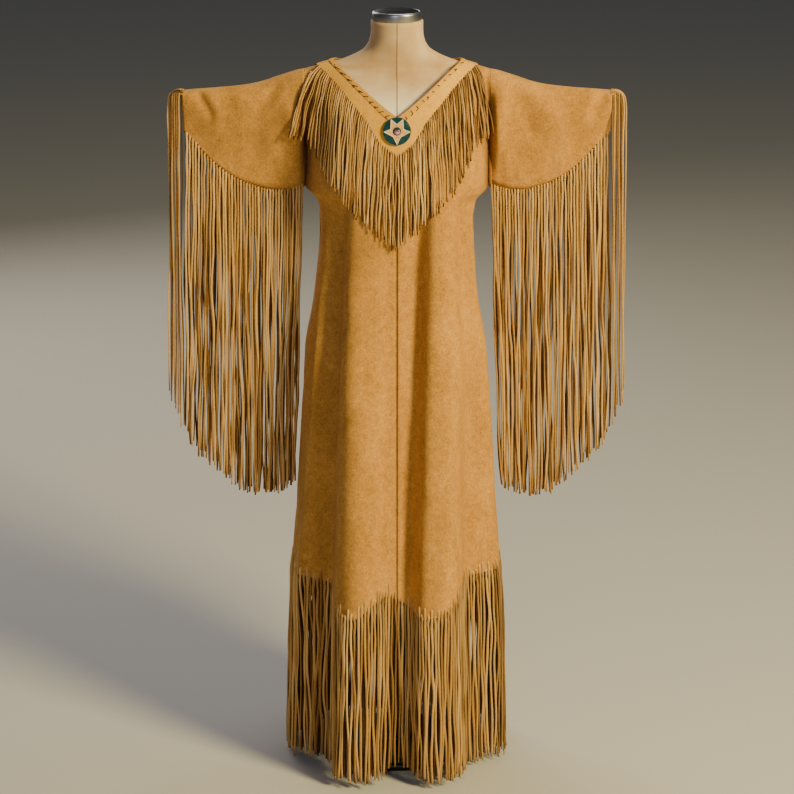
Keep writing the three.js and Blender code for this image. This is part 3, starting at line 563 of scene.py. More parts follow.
# the same on the sleeves, by side and face, with x measured outwards
sleeveCreases = {
    (-1, -1): [
        (372, 1350, 352, 1300, 7, -4.5), (352, 1344, 318, 1240, 12, 2.6), (222, 1366, 262, 1316, 8, -3.6),
        (200, 1330, 240, 1236, 14, 3.0), (280, 1300, 262, 1190, 14, -2.6),
        (330, 1290, 300, 1200, 12, -2.4), (192, 1300, 194, 1172, 14, 12.0),
    ],
    (1, -1): [
        (384, 1345, 372, 1300, 8, -4.0), (366, 1340, 352, 1280, 10, 2.4), (372, 1290, 340, 1240, 9, -3.0),
        (226, 1362, 300, 1300, 12, 2.8), (198, 1350, 204, 1185, 8, 9.0),
        (250, 1290, 290, 1220, 14, -2.6), (236, 1340, 252, 1262, 10, -2.4), (187, 1330, 189, 1190, 5, 7.0),
    ],
    (-1, 1): [
        (360, 1345, 330, 1270, 10, -3.6), (230, 1366, 280, 1290, 12, 3.0), (186, 1370, 190, 1180, 9, -6.0),
        (300, 1310, 270, 1200, 14, -2.8), (208, 1320, 216, 1180, 12, 3.6),
    ],
    (1, 1): [
        (370, 1345, 344, 1270, 10, -3.4), (224, 1366, 270, 1286, 12, 3.2), (186, 1370, 190, 1180, 9, -6.0),
        (310, 1320, 286, 1210, 13, -2.6), (206, 1310, 214, 1180, 12, 3.4),
    ],
}

# steep drops on the front, each with the cloth standing out on its left: place at the underarm,
# place at the hem, half width of the flank, reach, height
frontTucks = [(-88, -127, 7, 28, 11), (59, 35, 7, 30, 15)]
tuckFoot = 378
tuckGrowth = [(0, 0.9), (tuckFoot, 1), (900, 1), (1060, 0.8), (1165, 0.5), (1270, 0), (1420, 0)]

# the armholes sink between sleeve and body; by side and face: place, half width, depth, lowest, highest
armholeSlots = {(-1, -1): (167, 8.0, 34, 1166, 1316), (1, -1): (174, 6.0, 10, 1172, 1352),
                (-1, 1): (173, 7.0, 14, 1172, 1360), (1, 1): (173, 7.0, 14, 1172, 1360)}


def slotPush(face, x, z):
    place, halfWidth, depth, low, high = armholeSlots[(1 if x > 0 else -1, face)]
    if not low < z < high:
        return 0.0
    fade = clamp((z - low) / 25) * clamp((high - z) / 45)
    return -depth * fade * math.exp(-((abs(x) - place) / halfWidth) ** 2)


def tuckPush(x, z):
    fall = clamp((dress["underarmZ"] - z) / (dress["underarmZ"] - tuckFoot)) ** 0.75
    push = 0.0
    for topX, hemX, flank, reach, height in frontTucks:
        away = x - mix(topX, hemX, fall)
        if abs(away) < 3 * reach:
            push += height * math.tanh(away / flank) * math.exp(-(away / reach) ** 2)
    return push * straightAt(tuckGrowth, 1, z)


def creasePush(rows, x, z):
    push = 0.0
    for startX, startZ, endX, endZ, halfWidth, depth in rows:
        spanX, spanZ = endX - startX, endZ - startZ
        length = math.hypot(spanX, spanZ)
        along = ((x - startX) * spanX + (z - startZ) * spanZ) / length ** 2
        across = ((x - startX) * spanZ - (z - startZ) * spanX) / length
        if abs(across) > 3 * halfWidth or not -0.3 < along < 1.3:
            continue
        across += 0.35 * halfWidth * math.sin(4.2 * along + startX)
        fade = clamp((along + 0.3) / 0.5) * clamp((1.3 - along) / 0.5)
        push += depth * math.exp(-0.5 * (across / halfWidth) ** 2) * fade * fade * (3 - 2 * fade)
    return push


def ripple(point, size, depth):
    return depth * noise.noise(point / size)


def creasedSkirt(degrees, z, out=0.0):
    face = -1 if math.cos(math.radians(degrees)) > 0 else 1
    return softened(face, skirtPoint(degrees, z, out), outwardsAt(degrees))


# a flat grid of cloth, laid by place(u, v) and shaded by shadeOf(u, v)
def clothGrid(columns, rows, place, shadeOf=None):
    bm = bmesh.new()
    layer = bm.verts.layers.float.new("seamShade")
    bmesh.ops.create_grid(bm, x_segments=columns, y_segments=rows, size=0.5)
    for vert in bm.verts:
        u, v = vert.co.x + 0.5, vert.co.y + 0.5
        vert[layer] = shadeOf(u, v) if shadeOf else 0.0
        vert.co = place(u, v) * mm
    return bm


# sideways 0 judges by front and back alone, as a tube needs that runs from side to side
def pointOutwards(bm, sideways=1.0):
    bm.normal_update()
    away = 0.0
    for piece in bm.faces:
        middle = piece.calc_center_median()
        away += sideways * piece.normal.x * middle.x + piece.normal.y * middle.y
    if away < 0:
        bmesh.ops.reverse_faces(bm, faces=bm.faces)


def finishPiece(bm, name, finish, slot, replaced=(), smooth=True):
    mesh = bpy.data.meshes.new(name)
    bm.normal_update()
    bm.to_mesh(mesh)
    bm.free()
    for polygon in mesh.polygons:
        polygon.use_smooth = smooth
    mesh.materials.append(finishes[finish])
    piece = bpy.data.objects.new(name, mesh)
    bpy.context.collection.objects.link(piece)
    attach(piece, "root")
    if replaced:
        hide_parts(*replaced)
    return piece


def giveWall(piece, thickness, offset=-1.0):
    wall = piece.modifiers.new("wall", "SOLIDIFY")
    wall.thickness = thickness * mm
    wall.offset = offset
    wall.use_quality_normals = True


def setShade(bm, shadeOf):
    layer = bm.verts.layers.float["seamShade"]
    for vert in bm.verts:
        vert[layer] = shadeOf(vert.co / mm)


# fronts and back, each half a skirt and bodice sheet with the band above it that follows the neck
panelGrid = {"bandColumns": 46, "sideColumns": 16, "skirtRows": 120, "riseRows": 34, "bandRows": 10,
             "seamDip": 1.3, "seamReach": 2.4}
nearSeam = [0.0, 0.006, 0.013, 0.022, 0.036]  # where the first columns lie, from the centre seam
beyondSeam = 0.055


@functools.lru_cache(None)
def columnPlaces(total):
    rest = total - len(nearSeam)
    return nearSeam + [mix(beyondSeam, 1.0, i / rest) for i in range(rest + 1)]


# how far from the centre to the side seam a column lies
def columnShare(u, total):
    columns = columnPlaces(total)
    at = u * total
    low = min(int(at + 1e-6), total - 1)
    return mix(columns[low], columns[low + 1], at - low)


def bandShare(column):
    return 1 - (1 - clamp(column)) ** 1.35


# creases, tucks, ripples and armholes, added to a point of the plain form
def softened(face, point, out):
    x, z = point.x, point.z
    settle = clamp((1400 - z) / 60) * (0.35 + 0.65 * clamp(abs(x) / 20))
    push = (creasePush(bodyCreases[face], x, z) + (tuckPush(x, z) if face < 0 else 0)) * settle
    push += ripple(point, 90, 2.2) * settle + ripple(point, 34, 0.7) * settle
    push += ripple(Vector((x, point.y, z * 0.14)), 40, 3.2) * clamp((1130 - z) / 200)
    if face < 0:
        push -= panelGrid["seamDip"] * math.exp(-(x / panelGrid["seamReach"]) ** 2)
    edge = clamp((dress["armholeX"] - abs(x)) / 6) if z > dress["underarmZ"] else 1.0
    return point + out * push * edge + Vector((0, face * slotPush(face, x, z), 0))


def panelPoint(face, side, u, v, total, bandTotal):
    share = columnShare(u, total)
    degrees = side * 90 * share if face < 0 else 180 - side * 90 * share
    rows = panelGrid["skirtRows"] + panelGrid["riseRows"]
    row = v * rows
    if row <= panelGrid["skirtRows"]:
        z = mix(hemLine(degrees), dress["underarmZ"], row / panelGrid["skirtRows"])
        point = skirtPoint(degrees, z)
        out = outwardsAt(degrees)
    else:
        rise = (row - panelGrid["skirtRows"]) / panelGrid["riseRows"]
        foot = abs(skirtPoint(degrees, dress["underarmZ"]).x)
        bandLimit = columnShare(bandTotal / total, total)
        if share <= bandLimit + 1e-6:
            topX, topZ = alongEdge(yokeEdges[face], bandShare(share / bandLimit))
            topRise = chestRise(topX, topZ) if share < bandLimit - 1e-6 else 1.0
        else:
            topX = mix(dress["yokePointX"], dress["armholeX"], (share - bandLimit) / (1 - bandLimit))
            topRise = 1.0
        point = chestPoint(face, side * mix(foot, topX, rise), rise * topRise)
        out = Vector((0.5 * point.x / dress["armholeX"], face, 0.35 * rise)).normalized()
        if rise * topRise > 0.999:
            out = Vector((0, 0, 1))
    return softened(face, point, out)


def bandSheetPoint(face, side, u, v, total, bandTotal):
    bandLimit = columnShare(bandTotal / total, total)
    share = bandShare(columnShare(u * bandTotal / total, total) / bandLimit)
    return softened(face, bandPoint(face, side, share, v), bandNormal(face, side, share, v))


def joined(parts):
    whole = bmesh.new()
    for part in parts:
        mesh = bpy.data.meshes.new("part")
        part.to_mesh(mesh)
        part.free()
        whole.from_mesh(mesh)
        bpy.data.meshes.remove(mesh)
    bmesh.ops.remove_doubles(whole, verts=whole.verts, dist=0.05 * mm)
    return whole


def panelHalf(face, side):
    bandTotal = panelGrid["bandColumns"]
    total = bandTotal + panelGrid["sideColumns"]
    rows = panelGrid["skirtRows"] + panelGrid["riseRows"]
    shift = Vector((side * dress["halfSeam"] if face < 0 else 0, face * dress["halfSeam"], 0))
    panel = clothGrid(total, rows, lambda u, v: panelPoint(face, side, u, v, total, bandTotal) + shift)
    band = clothGrid(bandTotal, panelGrid["bandRows"],
                     lambda u, v: bandSheetPoint(face, side, u, v, total, bandTotal) + shift)
    pointOutwards(panel)
    pointOutwards(band)
    return joined([panel, band])


# painted shade in the groove of each armhole, darkest towards its foot
def armholePaintedShade(point):
    if point.z < dress["underarmZ"] - 4:
        return 0.0
    low = clamp((1372 - point.z) / 60)
    away = abs(abs(point.x) - dress["armholeX"])
    return 0.45 * low * math.exp(-(away / 3.5) ** 2) + 0.45 * low * math.exp(-(away / 12) ** 2)


# painted shade: a thin dark line in the crease of the front centre seam, below the yoke, added to the
# armholes' painted shade
def seamShadeOf(face):
    def shade(point):
        centre = math.exp(-(point.x / 1.6) ** 2) if face < 0 and point.y < 0 and point.z < 1240 else 0.0
        return clamp(0.85 * centre + armholePaintedShade(point))
    return shade


cloth = {}
for side, name in ((1, "front_left"), (-1, "front_right")):
    bm = panelHalf(-1, side)
    setShade(bm, seamShadeOf(-1))
    cloth[name] = finishPiece(bm, f"{name}_cloth", "suedeBody", "suede", [name])
bm = joined([panelHalf(1, 1), panelHalf(1, -1)])
setShade(bm, seamShadeOf(1))
cloth["back"] = finishPiece(bm, "back_cloth", "suedeBody", "suede", ["back"])
for piece in cloth.values():
    giveWall(piece, dress["thickness"])
print("fronts and back made")

# sleeves: a sheet bent round, open at the armhole and at the cuff
sleeveGrid = {"along": 70, "around": 76, "crease": 1.35}


def sleeveSheetPoint(side, u, v):
    x = mix(dress["sleeveStartX"], dress["cuffX"], u)
    around = (v * 2) % 2
    face = -1 if around <= 1 else 1
    h = around if around <= 1 else 2 - around
    point = sleevePoint(x, h, side, face)
    inside = math.sin(math.pi * clamp(h)) ** 0.7
    ends = clamp((x - dress["sleeveStartX"]) / 8) * (0.4 + 0.6 * clamp((dress["cuffX"] - x) / 10))
    push = sleeveGrid["crease"] * creasePush(sleeveCreases[(side, face)], x, point.z) * inside * ends
    push += (ripple(point, 60, 2.4) + ripple(point, 25, 0.8)) * inside * ends
    return point + Vector((0, face * (push + slotPush(face, side * x, point.z)), 0))


def makeSleeve(side, name):
    bm = clothGrid(sleeveGrid["along"], sleeveGrid["around"], lambda u, v: sleeveSheetPoint(side, u, v))
    bmesh.ops.remove_doubles(bm, verts=bm.verts, dist=0.02 * mm)
    pointOutwards(bm, 0.0)

    # painted shade at the armhole, and a dark line just above the lower seam
    def shade(point):
        lower = math.exp(-((point.z - sleeveAt(round(abs(point.x), 3))[1] - 1.5) / 1.2) ** 2)
        return clamp(armholePaintedShade(point) + 0.45 * lower)

    setShade(bm, shade)
    piece = finishPiece(bm, f"{name}_cloth", "suedeBody", "suede", [name])
    giveWall(piece, dress["thickness"])
    return piece


for side, name in ((1, "sleeve_left"), (-1, "sleeve_right")):
    cloth[name] = makeSleeve(side, name)
print("sleeves made")

# yokes, laid on the fronts and the back
yokeGrid = {"columns": 120, "rows": 12, "lift": 0.4, "thickness": 1.8}


def makeYoke(face, name):
    def place(u, v):
        side = 1 if u >= 0.5 else -1
        share = bandShare(abs(2 * u - 1))
        normal = bandNormal(face, side, share, v)
        point = bandPoint(face, side, share, v) + Vector((0, face * dress["halfSeam"], 0))
        return point + normal * (yokeGrid["lift"] + ripple(point, 30, 0.35) + 0.35)

    bm = clothGrid(yokeGrid["columns"], yokeGrid["rows"], place)
    pointOutwards(bm)
    piece = finishPiece(bm, f"{name}_cloth", "suedeYoke", "yoke_suede", [name])
    giveWall(piece, yokeGrid["thickness"], 1.0)
    return piece


cloth["yoke_front"] = makeYoke(-1, "yoke_front")
cloth["yoke_back"] = makeYoke(1, "yoke_back")

binding = {"around": 240, "low": 0.79, "lift": 2.6, "thickness": 0.9,
           "roll": [(0.0, 0.0), (0.88, 0.0), (0.93, 0.0), (0.97, -0.7), (1.0, -2.4)], "overhang": 1.2}


def bindingPoint(u, v):
    quarter = (4 * u) % 4
    face, side, share = [(-1, 1, quarter), (1, 1, 2 - quarter),
                         (1, -1, quarter - 2), (-1, -1, 4 - quarter)][int(quarter)]
    share = bandShare(share)
    normal = bandNormal(face, side, share, 0.98)
    across = clamp(v / 0.88)
    edge = bandPoint(face, side, share, 1.0)
    inward = (edge - bandPoint(face, side, share, 0.9)).normalized()
    point = bandPoint(face, side, share, mix(binding["low"], 1.0, across))
    beyond = clamp((v - 0.88) / 0.12)
    lift = binding["lift"] + smoothAt(binding["roll"], 1, v)
    return point + normal * lift + inward * binding["overhang"] * math.sin(beyond * math.pi / 2)


# the binding's own slightly browner tint over its whole width, and painted shade along its inner edge
# against the form and along its outer edge
def bindingTintAndShade(u, v):
    return 0.16 + 0.6 * clamp((v - 0.9) / 0.1) + 0.3 * clamp((0.08 - v) / 0.08)


bm = clothGrid(binding["around"], 18, bindingPoint, bindingTintAndShade)
bmesh.ops.remove_doubles(bm, verts=bm.verts, dist=0.02 * mm)
pointOutwards(bm)
cloth["neck_binding"] = finishPiece(bm, "neck_binding_cloth", "suedeYoke", "yoke_suede", ["neck_binding"])
giveWall(cloth["neck_binding"], binding["thickness"], 1.0)
print("yokes and binding made")

# lacing along the neck; edge is the length laced on each half, slant the lean of a stitch
lacing = {"pitch": 12.0, "width": 1.8, "height": 0.9, "low": 0.8, "high": 0.93, "seed": 5,
          "edge": {-1: 150, 1: 120}, "slant": {1: 0.03, -1: 0.012}, "ticks": 0.75}


def smallBar(bm, start, end, out, width):
    made = bmesh.ops.create_cube(bm, size=1.0)
    along = end - start
    side = along.cross(out).normalized()
    basis = Matrix((along, side * width, out * lacing["height"])).transposed()
    for vert in made["verts"]:
        vert.co = (basis @ vert.co + (start + end) / 2) * mm


def makeLacing():
    rng = random.Random(lacing["seed"])
    bm = bmesh.new()
    lift = binding["lift"] + binding["thickness"] + 0.1

    def onBinding(face, side, share, v):
        share = clamp(share, 0, 0.99)
        return bandPoint(face, side, share, v) + bandNormal(face, side, share, v) * lift

    for face in (-1, 1):
        for side in (-1, 1):
            count = int(lacing["edge"][face] / lacing["pitch"])
            for i in range(count):
                u = (i + 0.6) / count + rng.uniform(-0.01, 0.01)
                if u < 0.1 and face < 0:
                    continue
                slant = lacing["slant"][side * face]
                low = lacing["low"] + rng.uniform(-0.01, 0.01)
                high = lacing["high"] + rng.uniform(-0.03, 0.02)
                out = bandNormal(face, side, min(u, 0.98), 0.8)
                foot = onBinding(face, side, u + slant, low)
                smallBar(bm, foot, onBinding(face, side, u - slant, high), out, lacing["width"])
                if rng.random() < lacing["ticks"]:
                    tick = onBinding(face, side, u + slant - 0.4 / count, low)
                    smallBar(bm, foot, tick, out, lacing["width"] * 0.8)
    bmesh.ops.bevel(bm, geom=bm.edges[:], offset=0.35 * mm, segments=1, profile=0.5, affect="EDGES",
                    material=-1)
    finishPiece(bm, "neck_lacing", "laceThread", "yoke_suede")


makeLacing()
print("lacing made")

# a strand's cross section has six corners, the first and fourth at its cut edges
strandCorners = [(-1.0, 0.0), (-0.55, 0.95), (0.55, 0.95), (1.0, 0.0), (0.55, -0.95), (-0.55, -0.95)]


@functools.lru_cache(None)
def strandTemplate(rings):
    bm = bmesh.new()
    bmesh.ops.create_cone(bm, cap_ends=True, segments=6, radius1=1.0, radius2=1.0, depth=1.0)
    upright = [edge for edge in bm.edges if abs(edge.verts[0].co.z - edge.verts[1].co.z) > 0.5]
    bmesh.ops.subdivide_edges(bm, edges=upright, cuts=rings - 2, use_grid_fill=True)
    places = []
    for vert in bm.verts:
        corner = round(math.atan2(vert.co.y, vert.co.x) / (math.pi / 3)) % 6
        places.append((round(0.5 - vert.co.z, 4), strandCorners[corner]))
    mesh = bpy.data.meshes.new("strandTemplate")
    bm.to_mesh(mesh)
    bm.free()
    return mesh, places


# a smooth curve through the points, from 0 to 1
def splinePoint(points, t):
    at = clamp(t) * (len(points) - 1)
    index = min(int(at), len(points) - 2)
    local = at - index
    before, start = points[max(index - 1, 0)], points[index]
    end, after = points[index + 1], points[min(index + 2, len(points) - 1)]
    return 0.5 * ((2 * start) + (end - before) * local
                  + (2 * before - 5 * start + 4 * end - after) * local ** 2
                  + (3 * start - before - 3 * end + after) * local ** 3)


def addStrand(bm, layers, points, out, look, rng, tone, rootWidth=None, lean=0.0):
    mesh, places = strandTemplate(look["rings"])
    width = look["width"] * rng.uniform(0.8, 1.12)
    twist, crimp = twisting(rng, look["twist"]), crimping(rng, look["crimp"], look["cycles"])
    swell, swellPhase = rng.uniform(0.05, 0.16), rng.uniform(0, onceRound)
    first = len(bm.verts)
    bm.from_mesh(mesh)
    bm.verts.ensure_lookup_table()
    rings = {}
    for vert, (t, (across, through)) in zip(bm.verts[first:], places):
        if t not in rings:
            tangent = (splinePoint(points, t + 0.02) - splinePoint(points, t - 0.02)).normalized()
            turned = Matrix.Rotation(lean + twist(t), 3, tangent) @ out
            side = tangent.cross(turned).normalized()
            face = side.cross(tangent).normalized()
            wide = width * (1 - 0.3 * clamp((t - 0.9) / 0.1) ** 2)
            wide *= 1 + swell * math.sin(19 * t + swellPhase)
            if rootWidth:
                wide = mix(rootWidth, wide, clamp(t / look["rootReach"]))
            centre = splinePoint(points, t) + out.cross(Vector((0, 0, 1))) * crimp(t)
            rings[t] = (centre, side * wide / 2, face * look["thickness"] / 2)
        centre, side, face = rings[t]
        vert.co = (centre + side * across + face * through) * mm
        atRoot = clamp(1 - t / look["rootReach"])
        vert[layers[0]] = mix(tone, look["rootTone"], atRoot) if tone > 0.4 else tone
        # rim darkens the cut edges: the raw edges' own darker colour, plus painted shade in the gaps
        # between strands, strongest at the root
        vert[layers[1]] = (0.75 if abs(across) == 1.0 else 0.0) * (1 + 0.25 * atRoot)


def strandMesh():
    bm = bmesh.new()
    return bm, (bm.verts.layers.float.new("tone"), bm.verts.layers.float.new("rim"))


def finishFringe(bm, kind, place):
    finishPiece(bm, f"{kind}_strands_{place}", "suedeStrand", "fringe_suede", [f"{kind}_fringe_{place}"])


# a slow sway along a strand, with none at its root
def wander(rng, size):
    phases = [rng.uniform(0, onceRound) for _ in range(3)]
    rates = [rng.uniform(*span) for span in ((1.5, 2.5), (3.5, 5.5), (7, 10))]

    def offset(t):
        first, second, third = (math.sin(rate * t * 3 + phase) for rate, phase in zip(rates, phases))
        return size * (first + second / 2 + third / 3) * min(1.0, 3 * t)
    return offset


def twisting(rng, most):
    end = rng.uniform(-most, most)
    wave = rng.uniform(0.1, 0.5)
    phase = rng.uniform(0, onceRound)
    return lambda t: clamp(t * 6) * (end * t + wave * math.sin(7 * t + phase))


# a cut strand keeps small bends in its own plane
def crimping(rng, size, cycles):
    waves = [(rng.uniform(*cycles), rng.uniform(0, onceRound), rng.uniform(0.3, 1.0)) for _ in range(2)]
    return lambda t: size * clamp(t * 10) * sum(
        share * math.sin(onceRound * rate * t + phase) for rate, phase, share in waves) / 2


# layers: share of the outer count, depth behind the cloth's face, darkest and lightest tone; the dark tones
# of the inner layers are painted shade
hemFringe = {"layers": [(1.0, 0.0, 0.42, 0.95), (0.85, 7.0, 0.0, 0.3), (0.75, 15.0, 0.0, 0.1)],
             "width": 7.4, "thickness": 2.0, "twist": 0.9, "crimp": 0.8, "cycles": (3, 6), "rings": 34,
             "rootReach": 0.16, "rootTone": 0.8, "slit": 26.0, "lowest": 9.0, "backLowest": 4.5, "seed": 21,
             "steps": [0, 0.013, 0.05, 0.1, 0.22, 0.36, 0.5, 0.66, 0.82, 1], "angleStep": 0.5,
             # where, from which angle to which, how many strands in its outer layer
             "parts": [("front_left", 0, 90, 56), ("front_right", -90, 0, 56), ("back", 90, 270, 104)]}


# roots at even spacing along the cut edge, which is longer where it stands in folds
def hemPlaces(firstAngle, lastAngle, count):
    steps = round((lastAngle - firstAngle) / hemFringe["angleStep"])
    angles = [mix(firstAngle, lastAngle, k / steps) for k in range(steps + 1)]
    edge = [creasedSkirt(angle, hemLine(angle)) for angle in angles]
    reached = [(0.0, firstAngle)]
    for before, after, angle in zip(edge, edge[1:], angles[1:]):
        reached.append((reached[-1][0] + (after - before).to_2d().length, angle))
    length = reached[-1][0]
    return [straightAt(reached, 1, (i + 0.5) / count * length) for i in range(count)], length / count


def makeHemFringe(place, firstAngle, lastAngle, outerCount):
    rng = random.Random(hemFringe["seed"] + int(firstAngle))
    bm, layers = strandMesh()
    for share, behind, dark, light in hemFringe["layers"]:
        angles, pitch = hemPlaces(firstAngle, lastAngle, round(outerCount * share))
        for angle in angles:
            near = (angle + 180) % 360 - 180
            start = hemLine(angle) + (rng.uniform(3, hemFringe["slit"]) if behind == 0 else -2)
            end = hemFringe["lowest"] + rng.uniform(0, 17) + 24 * math.exp(-(near / 6) ** 2) + 0.4 * behind
            if abs(near) > 90:
                end = hemFringe["backLowest"] + rng.uniform(0, 4)
            sideways, outwards = wander(rng, 0.45), wander(rng, 2.0)
            lean = rng.uniform(-0.7, 0.7)
            points = []
            for t in hemFringe["steps"]:
                depth = behind * min(1, 8 * t) + (1.6 if t == 0 else -0.6)
                turn = angle + sideways(t) + lean * t
                points.append(creasedSkirt(turn, mix(start, end, t), outwards(t) - depth))
            here, beside = creasedSkirt(angle - 0.5, start), creasedSkirt(angle + 0.5, start)
            out = (beside - here).cross(Vector((0, 0, 1))).normalized()
            addStrand(bm, layers, points, out, hemFringe, rng, rng.uniform(dark, light), 1.04 * pitch)
    finishFringe(bm, "hem", place)


for part in hemFringe["parts"]:
    makeHemFringe(*part)
print("hem fringe made")

# root place, tip place, tip level
sleeveTips = [(176, 203, 575), (205, 222, 558), (250, 260, 546), (295, 304, 553), (328, 340, 583),
              (357, 371, 615), (380, 396, 638), (405, 421, 688)]
# layers: count, depth, shift along the seam, darkest and lightest tone; the dark tones of the middle and
# back layers are painted shade
sleeveFringe = {
    "layers": [(40, -3.2, 0.0, 0.45, 0.95), (38, 0.6, 0.5, 0.12, 0.5), (34, 4.2, 0.2, 0.0, 0.15)],
    "first": 178.0, "last": 402.0, "width": 6.3, "thickness": 2.0, "twist": 1.1, "crimp": 0.8,
    "cycles": (4, 8), "rings": 48, "rootReach": 0.05, "rootTone": 0.72, "seed": 40}


# strands of the outer layers start on the sleeve's face, a little above its lower seam
def sleeveRoot(x, bottom, y):
    if abs(y) < 1:
        return [(0.35 * y, bottom + 1.5)]
    face = -1 if y < 0 else 1
    return [(face * (surfaceDepth(face, x, bottom + 6.5) - 1.5), bottom + 6.5),
            (face * (surfaceDepth(face, x, bottom + 4.5) + 0.9), bottom + 4.5)]


def makeSleeveFringe(side, place):
    rng = random.Random(sleeveFringe["seed"] + side)
    bm, layers = strandMesh()
    for count, y, offset, dark, light in sleeveFringe["layers"]:
        pitch = (sleeveFringe["last"] - sleeveFringe["first"]) / count
        for i in range(count):
            x = sleeveFringe["first"] + (i + 0.5 + offset * 0.5) * pitch
            bottom = sleeveAt(round(x, 3))[1]
            tipX = smoothAt(sleeveTips, 1, x) + rng.uniform(-4, 4)
            tipZ = smoothAt(sleeveTips, 2, x) + rng.uniform(-9, 9)
            sideways, outwards = wander(rng, 2.5), wander(rng, 2.2)
            points = [Vector((side * x, *root)) for root in sleeveRoot(x, bottom, y)]
            for t in (0.03, 0.12, 0.25, 0.4, 0.55, 0.7, 0.85, 1.0):
                bulge = 1.4 * math.exp(-((t - 0.05) / 0.06) ** 2) * (1 if y > 0 else -1)
                points.append(Vector((side * (mix(x, tipX, t) + sideways(t)), y + bulge + outwards(t),
                                      mix(bottom - 3, tipZ, t))))
            tone = rng.uniform(dark, light)
            addStrand(bm, layers, points, Vector((0, -1, 0)), sleeveFringe, rng, tone, pitch)
    finishFringe(bm, "sleeve", place)


# cuff strands arch out over one another and fall: how many on each face
cuffFringe = {-1: 6, 1: 4, "rootX": 406.0, "reach": 27.0, "flare": 12.0, "width": 4.9, "thickness": 2.0,
              "twist": 1.2, "crimp": 0.9, "cycles": (4, 8), "rings": 48, "rootReach": 0.05, "rootTone": 0.7,
              "seed": 60}


def makeCuffFringe(side, place):
    rng = random.Random(cuffFringe["seed"] + side)
    bm, layers = strandMesh()
    for face in (-1, 1):
        count = cuffFringe[face]
        for i in range(count):
            h = mix(0.72, 0.96, (i + 0.5) / count)
            root = sleevePoint(dress["cuffX"], h, side, face)
            radius = mix(1, cuffFringe["reach"], (i + (0.9 if face < 0 else 0.4)) / count)
            tipZ = mix(690, 765, i / count) + rng.uniform(-10, 10)
            rise = 3.5 * (i + 1) / count
            sideways, outwards = wander(rng, 1.6), wander(rng, 1.6)
            points = [root + Vector((-side * 2, 0, 0))]
            for degrees in (15, 45, 80):
                turn = math.radians(degrees)
                points.append(Vector((side * (cuffFringe["rootX"] + radius * math.sin(turn)), root.y,
                                      root.z + rise * math.sin(2 * turn) - radius * (1 - math.cos(turn)))))
            endX = cuffFringe["rootX"] + radius + cuffFringe["flare"]
            for t in (0.12, 0.3, 0.5, 0.75, 1.0):
                points.append(Vector((side * (mix(cuffFringe["rootX"] + radius, endX, t) + sideways(t)),
                                      root.y * (1 - 0.3 * t) + outwards(t), mix(root.z - radius, tipZ, t))))
            addStrand(bm, layers, points, Vector((0, face, 0)), cuffFringe, rng, rng.uniform(0.2, 0.9))
    finishFringe(bm, "cuff", place)


for makeFringe in (makeSleeveFringe, makeCuffFringe):
    makeFringe(1, "left")
    makeFringe(-1, "right")
print("sleeve fringe made")

yokeTips = {
    -1: [(0, 0, 1066), (30, 36, 1094), (52, 64, 1122), (82, 98, 1154), (107, 126, 1190), (125, 148, 1226),
         (137, 172, 1258), (148, 204, 1272)],
    1: [(0, 0, 1168), (50, 50, 1174), (90, 91, 1192), (118, 124, 1216), (137, 156, 1250), (148, 194, 1274)],
}
# how many on each face, and the share of them that lies under the others, given dark tones as painted shade
yokeFringe = {-1: 96, 1: 70, "under": 0.8, "crowding": 1.25, "width": 5.2, "thickness": 1.6, "clear": 5.0,
              "swing": {-1: 1.0, 1: 0.5}, "twist": 0.9, "crimp": 0.9, "cycles": (2, 4), "rings": 22,
              "rootReach": 0.1, "rootTone": 0.85, "seed": 80}


def makeYokeFringe(face, place):
    rng = random.Random(yokeFringe["seed"] + face)
    bm, layers = strandMesh()
    count = yokeFringe[face]
    under = round(count * yokeFringe["under"])
    for i in range(count + under):
        below = i >= count
        across = (2 * (i - count) + 1) / under - 1 if below else (2 * i + 1) / count - 1
        side = 1 if across > 0 else -1
        u = min(1 - (1 - abs(across)) ** yokeFringe["crowding"], 0.985)
        root = bandPoint(face, side, u, 0.06) + bandNormal(face, side, u, 0.06) * 1.6
        edge = bandPoint(face, side, u, 0.0) + bandNormal(face, side, u, 0.0) * 2.6
        reach = abs(edge.x)
        swung = mix(reach, smoothAt(yokeTips[face], 1, reach), yokeFringe["swing"][side])
        tipX = swung + rng.uniform(-4, 4)
        tipZ = smoothAt(yokeTips[face], 2, reach) + rng.uniform(-8, 8)
        sideways, lifted = wander(rng, 1.4), -2.4 if below else rng.uniform(0, 2.6)
        points = [root, edge]
        deepest = abs(edge.y)
        for t in (0.08, 0.18, 0.3, 0.45, 0.62, 0.8, 1.0):
            x = mix(reach, tipX, t ** 0.6) + sideways(t)
            z = mix(edge.z, tipZ, t)
            ahead = mix(edge.z, tipZ, min(t + 0.04, 1))
            depth = max(surfaceDepth(face, side * x, z), surfaceDepth(face, side * x, ahead) - 1.0)
            deepest = max(deepest, depth + yokeFringe["clear"] + lifted * min(1, 3 * t))
            points.append(Vector((side * x, face * deepest, z)))
        # strands lying under the others get dark tones: painted shade
        tone = rng.uniform(0.0, 0.2) if below else rng.uniform(0.45, 1.0)
        addStrand(bm, layers, points, bandNormal(face, side, u, 0.0), yokeFringe, rng, tone,
                  lean=0.35 * side * face)
    finishFringe(bm, "yoke", place)


makeYokeFringe(-1, "front")
makeYokeFringe(1, "back")
for templateMesh in [mesh for mesh in bpy.data.meshes if mesh.name.startswith("strandTemplate")]:
    bpy.data.meshes.remove(templateMesh)
print("yoke fringe made")

# beaded rosette, sewn on the point of the yoke
rosette = {"z": 1290.0, "radius": 25.5, "thickness": 2.0, "bead": 1.75, "starRadius": 24.2,
           "starWaist": 12.6, "starThickness": 1.0, "stoneRadius": 7.4, "stoneHeight": 4.4, "clear": 4.2,
           "aroundStar": 0.5, "withinStar": 1.3, "seed": 7}
